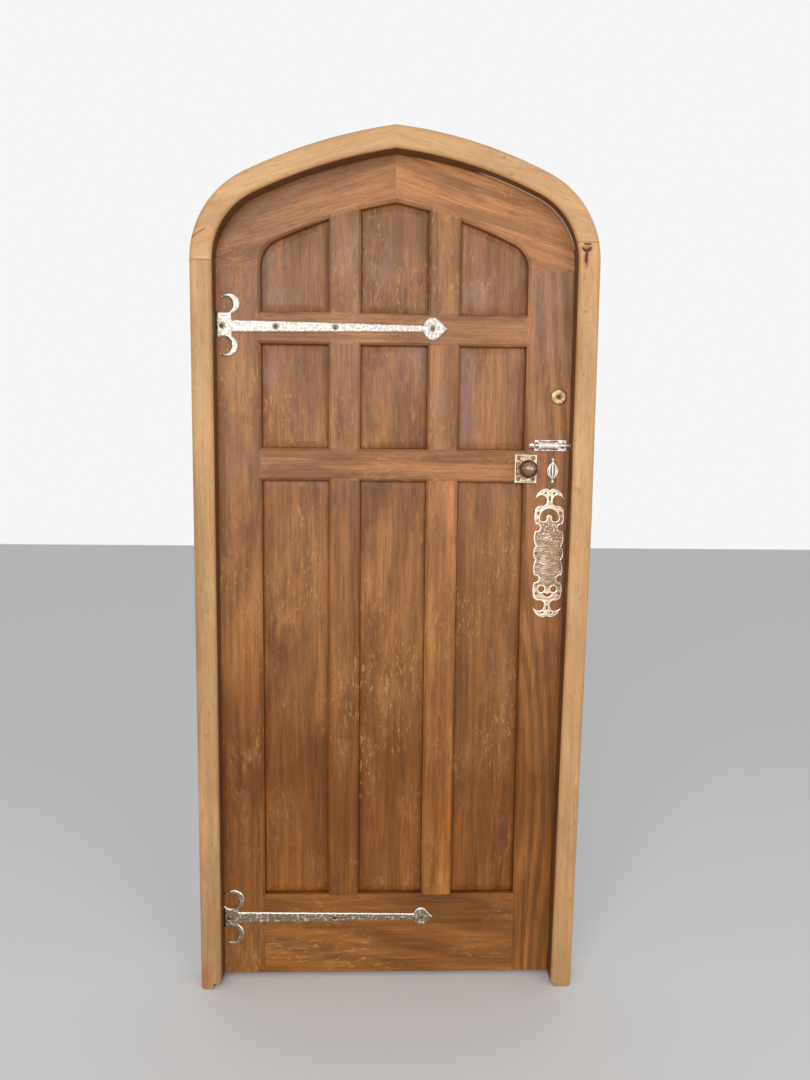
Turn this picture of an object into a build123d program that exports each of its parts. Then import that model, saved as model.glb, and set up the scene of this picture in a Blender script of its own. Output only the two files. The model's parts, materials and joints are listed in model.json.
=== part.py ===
from build123d import *

import math
import os

# An arched oak door in its rebated frame, with its irons, lock and latch, in millimetres.
# X runs to the right, Y into the opening and away from the person in front of it, Z up.
# The origin is on the ground, midway between the jambs and in the middle of the leaf's thickness.

# The opening as it shows from the front: straight jambs under a four-centred arch.
SIGHT_HALF_WIDTH = 391.0
SPRING_HEIGHT = 1651.0
HAUNCH_RADIUS = 156.0
HAUNCH_ANGLE = 64.3
ARCH_RISE = 236.0

# The frame: one section all round, with a stop in front and a rebate for the leaf behind.
# Age has moved its lock side: the sight edge has spread and risen there, and its foot leans in.
FRAME_FACE = 48.0
STOP_DEPTH = 44.0
REBATE_COVER = 12.0
LEAF_GAP = 3.0
CLOSING_GAP = 1.0
OUTER_ROUNDING = 13.0
INNER_ROUNDING = 9.0
HINGE_JOINT_DROP = 1.0
LOCK_JOINT_RISE = 49.0
LOCK_SIDE_SPREAD = 4.0
LOCK_SIDE_LIFT = 8.0
LEAN_AT_FOOT = 13.5
LEAN_BELOW_SPRING = 551.0
HINGE_FOOT_NOTCH = (18.0, 13.0)
LOCK_FOOT_NOTCH = (9.0, 7.0)

# The leaf: stiles, rails and muntins round nine panels.
LEAF_THICKNESS = 44.0
LEAF_FOOT = 11.0
STILE_WIDTH = 108.0
STILE_JOINT_DROP = 4.0
CENTRE_PANEL_WIDTH = 150.0
MUNTIN_WIDTH = 70.0
BOTTOM_RAIL = 193.0
LOCK_RAIL = 71.0
MIDDLE_PANEL = 229.0
UPPER_RAIL = 68.0
TOP_PANEL_SIDE = 98.5
EDGE_CHAMFER = 5.0
PANEL_IN_GROOVE = 7.0
GROOVE_DEPTH = 8.0
GROOVE_PLAY = 0.2
PANEL_EDGE = 9.0
PANEL_BEVEL = 16.0
PANEL_FIELD_RISE = 3.5
BEVEL_SETBACK = 0.5
TENON_THICKNESS = 14.0
TENON_SHOULDER = 11.0
RAIL_TENON = 60.0
MUNTIN_TENON = 25.0
DOWEL_RADIUS = 6.0
DOWEL_LENGTH = 70.0
DOWEL_SPACING = 44.0
FRAME_DOWEL_SPACING = 40.0

# The butt hinges, let into the leaf's back edge and the rebate.
BUTT_HEIGHT = 100.0
BUTT_PLATE_WIDTH = 34.0
BUTT_PLATE = 2.5
BUTT_CLOSED_GAP = 1.0
KNUCKLE_RADIUS = 5.5
KNUCKLE_COUNT = 5
KNUCKLE_GAP = 0.3
PIN_RADIUS = 2.75
PIN_HEAD = 3.2
RUNNING_CLEARANCE = 0.05
PIN_BEHIND_LEAF = 6.5
PLATE_TO_KNUCKLE = 0.6

# The hinge fronts, forged straps screwed to the leaf's face in front of the two hinges.
UPPER_HINGE_BELOW_SPRING = 131.5
LOWER_HINGE_ABOVE_FOOT = 140.0
UPPER_STRAP_REACH = 474.0
LOWER_STRAP_REACH = 464.5
STRAP_THICKNESS = 5.0
STRAP_BEVEL = 3.0
STRAP_BEVEL_DEPTH = 1.8
STRAP_ROOT_WIDTH = 27.0
STRAP_TIP_WIDTH = 14.0
STRAP_TO_STOP = 1.0
ROOT_LENGTH = 33.0
ROOT_ABOVE = 30.0
ROOT_BELOW = 24.5
UPPER_CRESCENTS = (((29.1, 48.0, 22.0), (19.3, 45.9, 17.0)), ((22.7, 42.5, 23.5), (14.0, 41.5, 18.8)))
LOWER_CRESCENTS = (((23.0, 44.0, 24.2), (15.5, 41.5, 19.6)), ((21.5, 40.0, 25.0), (13.5, 41.2, 19.9)))
UPPER_TIP = (21.0, 25.0, 35.0)
LOWER_TIP = (17.0, 21.8, 27.5)
STRAP_SCREWS = (12.5, 129.5, 260.0)

# The knobs on their spindle, with a plate on each face.
KNOB_FROM_EDGE = 105.0
KNOB_ABOVE_RAIL_FOOT = 30.0
KNOB_PLATE_WIDTH = 50.0
KNOB_PLATE_HEIGHT = 64.0
KNOB_PLATE_THICKNESS = 3.0
KNOB_PLATE_SCREW_INSET = 8.5
KNOB_RADIUS = 20.3
KNOB_LENGTH = 33.0
KNOB_NECK_RADIUS = 7.5
KNOB_COLLAR_RADIUS = 11.0
KNOB_COLLAR_LENGTH = 4.0
KNOB_FROM_FACE = 55.0
SPINDLE_SIDE = 8.0
SPINDLE_HOLE_RADIUS = 10.0

# The mortice lock in the lock stile, and its strike in the jamb.
LOCK_CASE_LENGTH = 126.0
LOCK_CASE_ABOVE = 32.0
LOCK_CASE_BELOW = 21.0
LOCK_CASE_THICKNESS = 16.0
FOREND_WIDTH = 24.0
FOREND_HEIGHT = 100.0
FOREND_THICKNESS = 3.0
KEYHOLE_FROM_EDGE = 44.3
FOLLOWER_RADIUS = 9.0
LATCH_RISE = 14.0
LATCH_SIZE = (60.0, 12.0, 15.0)
DEAD_BOLT_DROP = 12.0
DEAD_BOLT_SIZE = (28.0, 9.0, 13.0)
BOLT_PLAY = 0.15
BOLT_THROW = 10.0
STRIKE_ROOM = 1.5
KEYHOLE_RADIUS = 3.2
KEYHOLE_SLOT = (3.0, 11.0)

# The keyhole plate with its swinging cover.
ESCUTCHEON_HEIGHT = 55.0
ESCUTCHEON_BODY = (12.2, 19.0)
ESCUTCHEON_THICKNESS = 2.0
ESCUTCHEON_DROP = 4.0
COVER_THICKNESS = 2.5
COVER_PIVOT_RISE = 17.0
COVER_PIVOT_RADIUS = 1.6
COVER_GAP = 0.3

# The night latch: its cylinder in front, its case, knob and keep behind.
CYLINDER_FROM_EDGE = 35.0
CYLINDER_ABOVE_KNOB = 160.5
CYLINDER_RING_RADIUS = 18.0
CYLINDER_RING_THICKNESS = 5.0
CYLINDER_RADIUS = 14.0
PLUG_RADIUS = 6.5
NIGHT_CASE = (64.0, 26.0, 84.0)
NIGHT_BOLT = (46.0, 11.0, 22.0)
NIGHT_BOLT_THROW = 12.0
NIGHT_CASE_FROM_EDGE = 1.0
NIGHT_HUB_RADIUS = 8.0
NIGHT_KNOB_RADIUS = 15.0
NIGHT_KNOB_LENGTH = 18.0
KEEP_WALL = 2.5

# The slide bolt on the leaf's face.
SLIDE_BOLT_ABOVE_KNOB = 52.5
SLIDE_PLATE_LENGTH = 72.5
SLIDE_PLATE_TO_STOP = 6.5
SLIDE_PLATE_HEIGHT = 24.0
SLIDE_PLATE_THICKNESS = 2.5
SLIDE_BAR_RADIUS = 4.5
SLIDE_BAR_LIFT = 8.0
SLIDE_KNOB_RADIUS = 7.2
SLIDE_KNOB_LENGTH = 14.0
SLIDE_THROW = 8.0
SLIDE_KNOB_GAP = 0.5
SLIDE_SOCKET_ROOM = 1.0
SLIDE_TIP_TO_STOP = 2.0
BARREL_HALF_HEIGHT = 9.0
COLLAR_HALF_HEIGHT = 10.5
BARREL_FRONT = 15.5
COLLAR_FRONT = 16.5
COLLAR_LENGTHS = (7.0, 9.0)
BARREL_LENGTH = 28.0
COLLAR_START = 7.5
SLIDE_SCREW_INSETS = (3.6, 7.5)
SLIDE_SCREW_RISE = 5.2

# The pierced finger plate under the keyhole.
FINGER_PLATE_FROM_EDGE = 48.2
FINGER_PLATE_BELOW_KNOB = 192.0
FINGER_PLATE_HALF_WIDTH = 34.5
FINGER_PLATE_HALF_LENGTH = 147.5
FINGER_PLATE_THICKNESS = 2.0

# Screws: radius of the head, rise of its dome, radius of the shank, length of the shank.
STRAP_SCREW = (4.8, 1.9, 2.2, 28.0)
BUTT_SCREW = (3.6, 0.3, 1.9, 22.0)
PLATE_SCREW = (3.2, 1.0, 1.6, 14.0)
PIN_SCREW = (2.2, 0.9, 1.1, 11.0)
KEEP_SCREW = (3.6, 0.8, 1.9, 45.0)

# Places that follow from the sizes above.
LEAF_FRONT = -LEAF_THICKNESS / 2
LEAF_BACK = LEAF_THICKNESS / 2
STOP_BACK = LEAF_FRONT - CLOSING_GAP
FRAME_FRONT = STOP_BACK - STOP_DEPTH
FRAME_BACK = LEAF_BACK
LEAF_HALF_WIDTH = SIGHT_HALF_WIDTH + REBATE_COVER
REBATE_HALF_WIDTH = LEAF_HALF_WIDTH + LEAF_GAP
FRAME_HALF_WIDTH = SIGHT_HALF_WIDTH + FRAME_FACE
STILE_INNER = LEAF_HALF_WIDTH - STILE_WIDTH
PANEL_OFFSET = REBATE_COVER - STILE_WIDTH
MUNTIN_INNER = CENTRE_PANEL_WIDTH / 2
MUNTIN_OUTER = MUNTIN_INNER + MUNTIN_WIDTH
HINGE_SIDE_JOINT = SPRING_HEIGHT - HINGE_JOINT_DROP
LOCK_SIDE_JOINT = SPRING_HEIGHT + LOCK_JOINT_RISE
LEAN_START_HEIGHT = SPRING_HEIGHT - LEAN_BELOW_SPRING
STILE_JOINT = SPRING_HEIGHT - STILE_JOINT_DROP
LOWER_PANEL_FOOT = LEAF_FOOT + BOTTOM_RAIL
TOP_PANEL_FOOT = SPRING_HEIGHT - TOP_PANEL_SIDE
UPPER_RAIL_FOOT = TOP_PANEL_FOOT - UPPER_RAIL
MIDDLE_PANEL_FOOT = UPPER_RAIL_FOOT - MIDDLE_PANEL
LOCK_RAIL_FOOT = MIDDLE_PANEL_FOOT - LOCK_RAIL
LEAF_EDGE_RECESS = (2 * BUTT_PLATE + BUTT_CLOSED_GAP - LEAF_GAP) / 2
PIN_X = -(LEAF_HALF_WIDTH + LEAF_GAP / 2)
PIN_Y = LEAF_BACK + PIN_BEHIND_LEAF
UPPER_HINGE_HEIGHT = SPRING_HEIGHT - UPPER_HINGE_BELOW_SPRING
LOWER_HINGE_HEIGHT = LEAF_FOOT + LOWER_HINGE_ABOVE_FOOT
KNOB_X = LEAF_HALF_WIDTH - KNOB_FROM_EDGE
LOCK_HEIGHT = LOCK_RAIL_FOOT + KNOB_ABOVE_RAIL_FOOT
KEYHOLE_X = LEAF_HALF_WIDTH - KEYHOLE_FROM_EDGE
CYLINDER_X = LEAF_HALF_WIDTH - CYLINDER_FROM_EDGE
CYLINDER_HEIGHT = LOCK_HEIGHT + CYLINDER_ABOVE_KNOB
SLIDE_BOLT_HEIGHT = LOCK_HEIGHT + SLIDE_BOLT_ABOVE_KNOB
FINGER_PLATE_X = LEAF_HALF_WIDTH - FINGER_PLATE_FROM_EDGE
FINGER_PLATE_HEIGHT = LOCK_HEIGHT - FINGER_PLATE_BELOW_KNOB
SOLID_REACH = SPRING_HEIGHT + FRAME_HALF_WIDTH

# The arch's two pairs of centres: the tight haunches, and the flat crown that meets at the apex.
HAUNCH_X = SIGHT_HALF_WIDTH - HAUNCH_RADIUS
HAUNCH_COS = math.cos(math.radians(HAUNCH_ANGLE))
HAUNCH_SIN = math.sin(math.radians(HAUNCH_ANGLE))


def centre_distance(haunch_x, rise):
    """How far the crown's centre lies from the haunch's, for a crown that ends at the apex."""
    return (haunch_x**2 + rise**2 - HAUNCH_RADIUS**2) / (
        2 * (HAUNCH_RADIUS + haunch_x * HAUNCH_COS - rise * HAUNCH_SIN)
    )


CROWN_RADIUS = HAUNCH_RADIUS + centre_distance(HAUNCH_X, ARCH_RISE)
CROWN_X = HAUNCH_X - centre_distance(HAUNCH_X, ARCH_RISE) * HAUNCH_COS
CROWN_Z = SPRING_HEIGHT - centre_distance(HAUNCH_X, ARCH_RISE) * HAUNCH_SIN


def block(x0, x1, y0, y1, z0, z1):
    """A box between two opposite corners."""
    return Pos((x0 + x1) / 2, (y0 + y1) / 2, (z0 + z1) / 2) * Box(x1 - x0, y1 - y0, z1 - z0)


def rod(x, y, z, radius, length, direction):
    """A round bar that starts at a point and runs along a direction."""
    return extrude(Plane(origin=(x, y, z), z_dir=direction) * Circle(radius), amount=length)


def dome(radius, edge_height, top_height):
    """A spherical arc from a rim at edge_height in to the axis at top_height."""
    rise = top_height - edge_height
    sphere = (radius**2 + rise**2) / (2 * rise)
    half = math.asin(min(radius / sphere, 1.0)) / 2
    middle = (sphere * math.sin(half), top_height - sphere * (1 - math.cos(half)))
    return ThreePointArc((radius, edge_height), middle, (0, top_height))


def flipped(shape):
    """The same piece on the other side of the leaf's middle."""
    return mirror(shape, about=Plane.YZ)


def turned_to_back(shape):
    """The same piece on the leaf's other face."""
    return mirror(shape, about=Plane.XZ)


def front_prism(face, y_front, y_back):
    """A face drawn as seen from the front, given a depth from one Y to another."""
    return extrude(Plane.XZ.offset(-y_back) * face, amount=y_back - y_front, dir=(0, -1, 0))


def front_loft(face_front, y_front, face_back, y_back):
    """A solid between two like faces seen from the front, straight between their edges."""
    front = (Plane.XZ.offset(-y_front) * face_front).face().outer_wire()
    back = (Plane.XZ.offset(-y_back) * face_back).face().outer_wire()
    return Part() + Solid.make_loft([front, back], True)


def crown_height(x, offset):
    """Height of the arch's flat crown at x, for a line set out by offset from the sight line."""
    return CROWN_Z + math.sqrt((CROWN_RADIUS + offset) ** 2 - (abs(x) - CROWN_X) ** 2)


def haunch_height(x, offset):
    """Height of the arch's tight haunch at x."""
    return SPRING_HEIGHT + math.sqrt(max((HAUNCH_RADIUS + offset) ** 2 - (abs(x) - HAUNCH_X) ** 2, 0))


def arch_tangent(offset):
    """The point where the haunch runs into the crown."""
    radius = HAUNCH_RADIUS + offset
    return (HAUNCH_X + radius * HAUNCH_COS, SPRING_HEIGHT + radius * HAUNCH_SIN)


def crown_arc(x_from, x_to, offset):
    """The crown's arc between two x on the right-hand side."""
    middle = (x_from + x_to) / 2
    points = [(x, crown_height(x, offset)) for x in (x_from, middle, x_to)]
    return ThreePointArc(*points)


def haunch_arc(offset):
    """The haunch's arc from the springing up to the crown."""
    radius = HAUNCH_RADIUS + offset
    half = math.radians(HAUNCH_ANGLE / 2)
    start = (HAUNCH_X + radius, SPRING_HEIGHT)
    middle = (HAUNCH_X + radius * math.cos(half), SPRING_HEIGHT + radius * math.sin(half))
    return ThreePointArc(start, middle, arch_tangent(offset))


def half_arch(offset, foot):
    """The right half of everything under the arch, as a face."""
    side = SIGHT_HALF_WIDTH + offset
    apex = (0, crown_height(0, offset))
    outline = [
        Line((0, foot), (side, foot)),
        Line((side, foot), (side, SPRING_HEIGHT)),
        haunch_arc(offset),
        crown_arc(arch_tangent(offset)[0], 0, offset),
        Line(apex, (0, foot)),
    ]
    return make_face(outline)


def rectangle(x0, x1, z0, z1):
    """A rectangle as seen from the front."""
    return Pos((x0 + x1) / 2, (z0 + z1) / 2) * Rectangle(x1 - x0, z1 - z0)


def centre_top_outline(grow):
    """The middle top panel's opening, set out by grow."""
    offset = PANEL_OFFSET + grow
    side = MUNTIN_INNER + grow
    foot = TOP_PANEL_FOOT - grow
    left_arc = ThreePointArc(
        (0, crown_height(0, offset)),
        (-side / 2, crown_height(side / 2, offset)),
        (-side, crown_height(side, offset)),
    )
    outline = [
        Line((-side, foot), (side, foot)),
        Line((side, foot), (side, crown_height(side, offset))),
        crown_arc(side, 0, offset),
        left_arc,
        Line((-side, crown_height(side, offset)), (-side, foot)),
    ]
    return make_face(outline)


def side_top_outline(grow):
    """The right top panel's opening, set out by grow, under the haunch."""
    offset = PANEL_OFFSET + grow
    near = MUNTIN_OUTER - grow
    far = SIGHT_HALF_WIDTH + offset
    foot = TOP_PANEL_FOOT - grow
    outline = [
        Line((near, foot), (far, foot)),
        Line((far, foot), (far, SPRING_HEIGHT)),
        haunch_arc(offset),
        crown_arc(arch_tangent(offset)[0], near, offset),
        Line((near, crown_height(near, offset)), (near, foot)),
    ]
    return make_face(outline)


def panel_outlines():
    """Name, outline function and side of each of the nine panels."""
    rows = [("middle", MIDDLE_PANEL_FOOT, UPPER_RAIL_FOOT), ("lower", LOWER_PANEL_FOOT, LOCK_RAIL_FOOT)]
    found = [("top_centre", centre_top_outline, 0), ("top_right", side_top_outline, 1)]
    found.append(("top_left", side_top_outline, -1))
    for row, low, high in rows:
        centre = (-MUNTIN_INNER, MUNTIN_INNER, low, high)
        side = (MUNTIN_OUTER, STILE_INNER, low, high)
        found.append((row + "_centre", grown_rectangle(centre), 0))
        found.append((row + "_right", grown_rectangle(side), 1))
        found.append((row + "_left", grown_rectangle(side), -1))
    return found


def grown_rectangle(corners):
    """A function that gives a rectangle set out by any amount."""
    x0, x1, z0, z1 = corners
    return lambda grow: rectangle(x0 - grow, x1 + grow, z0 - grow, z1 + grow)


def fielded_panel(outline):
    """A solid wood panel: a thin edge for the groove, a flat bevel and a raised field on both faces."""
    edge = PANEL_EDGE / 2
    field = edge + PANEL_FIELD_RISE
    tongue = front_prism(outline(PANEL_IN_GROOVE), -edge, edge)
    raised = front_loft(outline(-PANEL_BEVEL), -field, outline(-BEVEL_SETBACK), -edge)
    return tongue + raised + turned_to_back(raised)


def opening_cutter(outline):
    """What a panel's opening takes from the pieces round it: the groove and both worked edges."""
    groove = PANEL_EDGE / 2 + GROOVE_PLAY / 2
    cutter = front_prism(outline(GROOVE_DEPTH), -groove, groove)
    worked = front_loft(
        outline(EDGE_CHAMFER + 1.0), LEAF_FRONT - 1.0, outline(0), LEAF_FRONT + EDGE_CHAMFER
    )
    return cutter + worked + turned_to_back(worked)


def cut_openings(piece):
    """Take every panel's groove and worked edges from one piece of the leaf."""
    box = piece.bounding_box()
    for cutter in OPENING_CUTTERS:
        other = cutter.bounding_box()
        apart_x = other.min.X > box.max.X or other.max.X < box.min.X
        apart_z = other.min.Z > box.max.Z or other.max.Z < box.min.Z
        if not (apart_x or apart_z):
            piece = piece - cutter
    return piece


def rail_tenons(z0, z1):
    """The tenons at a rail's two ends, or a pair at each end of the deep bottom rail."""
    half = TENON_THICKNESS / 2
    depth = z1 - z0
    parts = []
    if depth > 2 * LOCK_RAIL:
        middle = (z0 + z1) / 2
        spans = [
            (z0 + 2 * TENON_SHOULDER, middle - TENON_SHOULDER),
            (middle + TENON_SHOULDER, z1 - TENON_SHOULDER),
        ]
    else:
        spans = [(z0 + TENON_SHOULDER, z1 - TENON_SHOULDER)]
    for low, high in spans:
        tenon = block(STILE_INNER, STILE_INNER + RAIL_TENON, -half, half, low, high)
        parts += [tenon, flipped(tenon)]
    return parts


def muntin_tenon(side, z0, z1):
    """A muntin's stub tenon between two heights."""
    half = TENON_THICKNESS / 2
    x0 = MUNTIN_INNER + TENON_SHOULDER
    x1 = MUNTIN_OUTER - TENON_SHOULDER
    tenon = block(x0, x1, -half, half, z0, z1)
    return tenon if side > 0 else flipped(tenon)


def muntin_spans():
    """Name, foot and head of each row of muntins. The top row runs up to the arch."""
    return [
        ("upper", TOP_PANEL_FOOT, None),
        ("middle", MIDDLE_PANEL_FOOT, UPPER_RAIL_FOOT),
        ("lower", LOWER_PANEL_FOOT, LOCK_RAIL_FOOT),
    ]


def muntin_tenons(side, foot, head):
    """Both stub tenons of one muntin."""
    if head is None:
        arch = crown_height(MUNTIN_OUTER, PANEL_OFFSET)
        low = muntin_tenon(side, foot - MUNTIN_TENON, foot)
        return [low, muntin_tenon(side, arch - TENON_SHOULDER, arch + MUNTIN_TENON)]
    return [
        muntin_tenon(side, foot - MUNTIN_TENON, foot),
        muntin_tenon(side, head, head + MUNTIN_TENON),
    ]


def muntin(side, foot, head):
    """An upright between two panels, tenoned into what is above and below it."""
    if head is None:
        top = crown_height(0, PANEL_OFFSET)
        bar = block(MUNTIN_INNER, MUNTIN_OUTER, LEAF_FRONT, LEAF_BACK, foot, top)
        bar = bar & front_prism(half_arch(PANEL_OFFSET, 0), LEAF_FRONT, LEAF_BACK)
    else:
        bar = block(MUNTIN_INNER, MUNTIN_OUTER, LEAF_FRONT, LEAF_BACK, foot, head)
    if side < 0:
        bar = flipped(bar)
    for tenon in muntin_tenons(side, foot, head):
        bar = bar + tenon
    return cut_openings(bar)


def all_muntin_tenons():
    """Every muntin's tenons, to be cut from the rails and the head."""
    found = []
    for side in (-1, 1):
        for name, foot, head in muntin_spans():
            found += muntin_tenons(side, foot, head)
    return found


def cross_rail(z0, z1):
    """A level rail between the stiles."""
    rail = block(-STILE_INNER, STILE_INNER, LEAF_FRONT, LEAF_BACK, z0, z1)
    for tenon in all_muntin_tenons():
        rail = rail - tenon
    for tenon in rail_tenons(z0, z1):
        rail = rail + tenon
    return cut_openings(rail)


def stile(side):
    """An upright at the leaf's edge, morticed for the three rails."""
    x0, x1 = STILE_INNER, LEAF_HALF_WIDTH
    bar = block(x0, x1, LEAF_FRONT, LEAF_BACK, LEAF_FOOT, STILE_JOINT)
    if side < 0:
        bar = flipped(bar)
    levels = [
        (LEAF_FOOT, LOWER_PANEL_FOOT),
        (LOCK_RAIL_FOOT, MIDDLE_PANEL_FOOT),
        (UPPER_RAIL_FOOT, TOP_PANEL_FOOT),
    ]
    for low, high in levels:
        for tenon in rail_tenons(low, high):
            bar = bar - tenon
    for dowel in stile_dowels(side):
        bar = bar - dowel
    return cut_openings(bar)


def stile_dowels(side):
    """The two dowels that join a stile to the head above it."""
    middle = LEAF_HALF_WIDTH - STILE_WIDTH / 2
    low = STILE_JOINT - DOWEL_LENGTH / 2
    found = []
    for shift in (-DOWEL_SPACING / 2, DOWEL_SPACING / 2):
        found.append(rod(side * (middle + shift), 0, low, DOWEL_RADIUS, DOWEL_LENGTH, (0, 0, 1)))
    return found


def apex_dowels(offset_low, offset_high, spacing, y):
    """Two level dowels through the joint at the apex."""
    middle = (crown_height(0, offset_low) + crown_height(0, offset_high)) / 2
    found = []
    for shift in (-spacing / 2, spacing / 2):
        found.append(rod(-DOWEL_LENGTH / 2, y, middle + shift, DOWEL_RADIUS, DOWEL_LENGTH, (1, 0, 0)))
    return found


def head_rail(side):
    """One curved half of the leaf's head, from the stile to the apex."""
    outer = front_prism(half_arch(REBATE_COVER, STILE_JOINT), LEAF_FRONT, LEAF_BACK)
    inner = front_prism(half_arch(PANEL_OFFSET, STILE_JOINT - 1), LEAF_FRONT - 1, LEAF_BACK + 1)
    piece = outer - inner
    if side < 0:
        piece = flipped(piece)
    for tenon in all_muntin_tenons():
        piece = piece - tenon
    for dowel in stile_dowels(side) + leaf_apex_dowels():
        piece = piece - dowel
    return cut_openings(piece)


def leaf_apex_dowels():
    """The dowels at the leaf's apex, spread across the head's depth."""
    return apex_dowels(PANEL_OFFSET, REBATE_COVER, DOWEL_SPACING, 0)


def frame_section(shift):
    """The frame's level section on the right, moved outward by shift and not yet rebated."""
    inner = SIGHT_HALF_WIDTH + shift
    outer = FRAME_HALF_WIDTH + shift
    chord = 1 - math.sqrt(0.5)
    outer_middle = (outer - OUTER_ROUNDING * chord, FRAME_FRONT + OUTER_ROUNDING * chord)
    inner_middle = (inner + INNER_ROUNDING * chord, FRAME_FRONT + INNER_ROUNDING * chord)
    outline = [
        Line((inner + INNER_ROUNDING, FRAME_FRONT), (outer - OUTER_ROUNDING, FRAME_FRONT)),
        ThreePointArc(
            (outer - OUTER_ROUNDING, FRAME_FRONT), outer_middle, (outer, FRAME_FRONT + OUTER_ROUNDING)
        ),
        Line((outer, FRAME_FRONT + OUTER_ROUNDING), (outer, FRAME_BACK)),
        Line((outer, FRAME_BACK), (inner, FRAME_BACK)),
        Line((inner, FRAME_BACK), (inner, FRAME_FRONT + INNER_ROUNDING)),
        ThreePointArc(
            (inner, FRAME_FRONT + INNER_ROUNDING), inner_middle, (inner + INNER_ROUNDING, FRAME_FRONT)
        ),
    ]
    return make_face(outline)


def rebate():
    """The recess that the leaf closes into, plumb and symmetrical under its own arch."""
    right = front_prism(half_arch(REBATE_COVER + LEAF_GAP, -1), STOP_BACK, FRAME_BACK + 1)
    return right + flipped(right)


def frame_head(shift, lift):
    """The curved part of the frame on the right, from its springing to the apex."""
    haunch_x = HAUNCH_X + shift
    spring = SPRING_HEIGHT + lift
    distance = centre_distance(haunch_x, ARCH_RISE - lift)
    crown_x = haunch_x - distance * HAUNCH_COS
    crown_z = spring - distance * HAUNCH_SIN
    sweep = math.degrees(math.acos(-crown_x / (HAUNCH_RADIUS + distance + FRAME_FACE))) + 1.0
    section = Pos(0, 0, spring) * frame_section(shift)
    haunch_axis = Axis((haunch_x, 0, spring), (0, -1, 0))
    crown_axis = Axis((crown_x, 0, crown_z), (0, -1, 0))
    haunch = revolve(section, axis=haunch_axis, revolution_arc=HAUNCH_ANGLE)
    crown_section = section.face().rotate(haunch_axis, HAUNCH_ANGLE)
    crown = revolve(crown_section, axis=crown_axis, revolution_arc=sweep - HAUNCH_ANGLE)
    right_half = block(0, SOLID_REACH, -SOLID_REACH, SOLID_REACH, 0, 2 * SOLID_REACH)
    return (haunch + crown) & right_half


def frame_upright(shift, z0, z1):
    """A plumb length of the frame on the right."""
    return extrude(Pos(0, 0, z0) * frame_section(shift), amount=z1 - z0, dir=(0, 0, 1))


def leaning_upright():
    """The lock jamb's lower length, whose foot stands inward."""
    foot = frame_section(LOCK_SIDE_SPREAD - LEAN_AT_FOOT).face().outer_wire()
    head = Pos(0, 0, LEAN_START_HEIGHT) * frame_section(LOCK_SIDE_SPREAD)
    return Part() + Solid.make_loft([foot, head.face().outer_wire()], True)


def lock_side():
    """The whole lock side of the frame, from its foot to the apex."""
    spring = SPRING_HEIGHT + LOCK_SIDE_LIFT
    upright = frame_upright(LOCK_SIDE_SPREAD, LEAN_START_HEIGHT, spring)
    head = frame_head(LOCK_SIDE_SPREAD, LOCK_SIDE_LIFT)
    return leaning_upright() + upright + head - rebate()


def hinge_side():
    """The whole hinge side of the frame, from its foot to the apex."""
    return flipped(frame_upright(0, 0, SPRING_HEIGHT) + frame_head(0, 0)) - rebate()


def below(height):
    """Everything under a level."""
    return block(-SOLID_REACH, SOLID_REACH, -SOLID_REACH, SOLID_REACH, -1, height)


def above(height):
    """Everything over a level."""
    return block(-SOLID_REACH, SOLID_REACH, -SOLID_REACH, SOLID_REACH, height, 2 * SOLID_REACH)


def jamb_dowels(side, joint):
    """The two dowels that join a jamb to the curved head above it, one in front of the other."""
    middle = (REBATE_HALF_WIDTH + FRAME_HALF_WIDTH) / 2
    depth = (FRAME_FRONT + FRAME_BACK) / 2
    low = joint - DOWEL_LENGTH / 2
    lean_in = frame_joint_shift(joint)
    found = []
    for shift in (-FRAME_DOWEL_SPACING / 2, FRAME_DOWEL_SPACING / 2):
        x = side * (middle - lean_in)
        found.append(rod(x, depth + shift, low, DOWEL_RADIUS, DOWEL_LENGTH, (0, 0, 1)))
    return found


def frame_joint_shift(height):
    """How far the arch has already turned inward at a joint above the springing."""
    if height <= SPRING_HEIGHT:
        return 0.0
    radius = HAUNCH_RADIUS + FRAME_FACE
    return radius - math.sqrt(radius**2 - (height - SPRING_HEIGHT) ** 2)


def frame_apex_dowels():
    """Two dowels through the frame's apex, one in front of the other."""
    level = (crown_height(0, REBATE_COVER + LEAF_GAP) + crown_height(0, FRAME_FACE)) / 2
    depth = (FRAME_FRONT + FRAME_BACK) / 2
    found = []
    for shift in (-FRAME_DOWEL_SPACING / 2, FRAME_DOWEL_SPACING / 2):
        start = (-DOWEL_LENGTH / 2, depth + shift, level)
        found.append(rod(*start, DOWEL_RADIUS, DOWEL_LENGTH, (1, 0, 0)))
    return found


def hinge_jamb():
    """The plumb jamb that carries the hinges, with its stepped foot."""
    notch_width, notch_height = HINGE_FOOT_NOTCH
    notch = block(
        -SIGHT_HALF_WIDTH - notch_width,
        -SIGHT_HALF_WIDTH + 1,
        FRAME_FRONT - 1,
        FRAME_BACK + 1,
        -1,
        notch_height,
    )
    piece = (hinge_side() & below(HINGE_SIDE_JOINT)) - notch
    for height in (LOWER_HINGE_HEIGHT, UPPER_HINGE_HEIGHT):
        piece = piece - butt_plate(-1, height)
        piece = cut_screws(piece, butt_screws(-1, height))
    for dowel in jamb_dowels(-1, HINGE_SIDE_JOINT):
        piece = piece - dowel
    return piece


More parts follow.
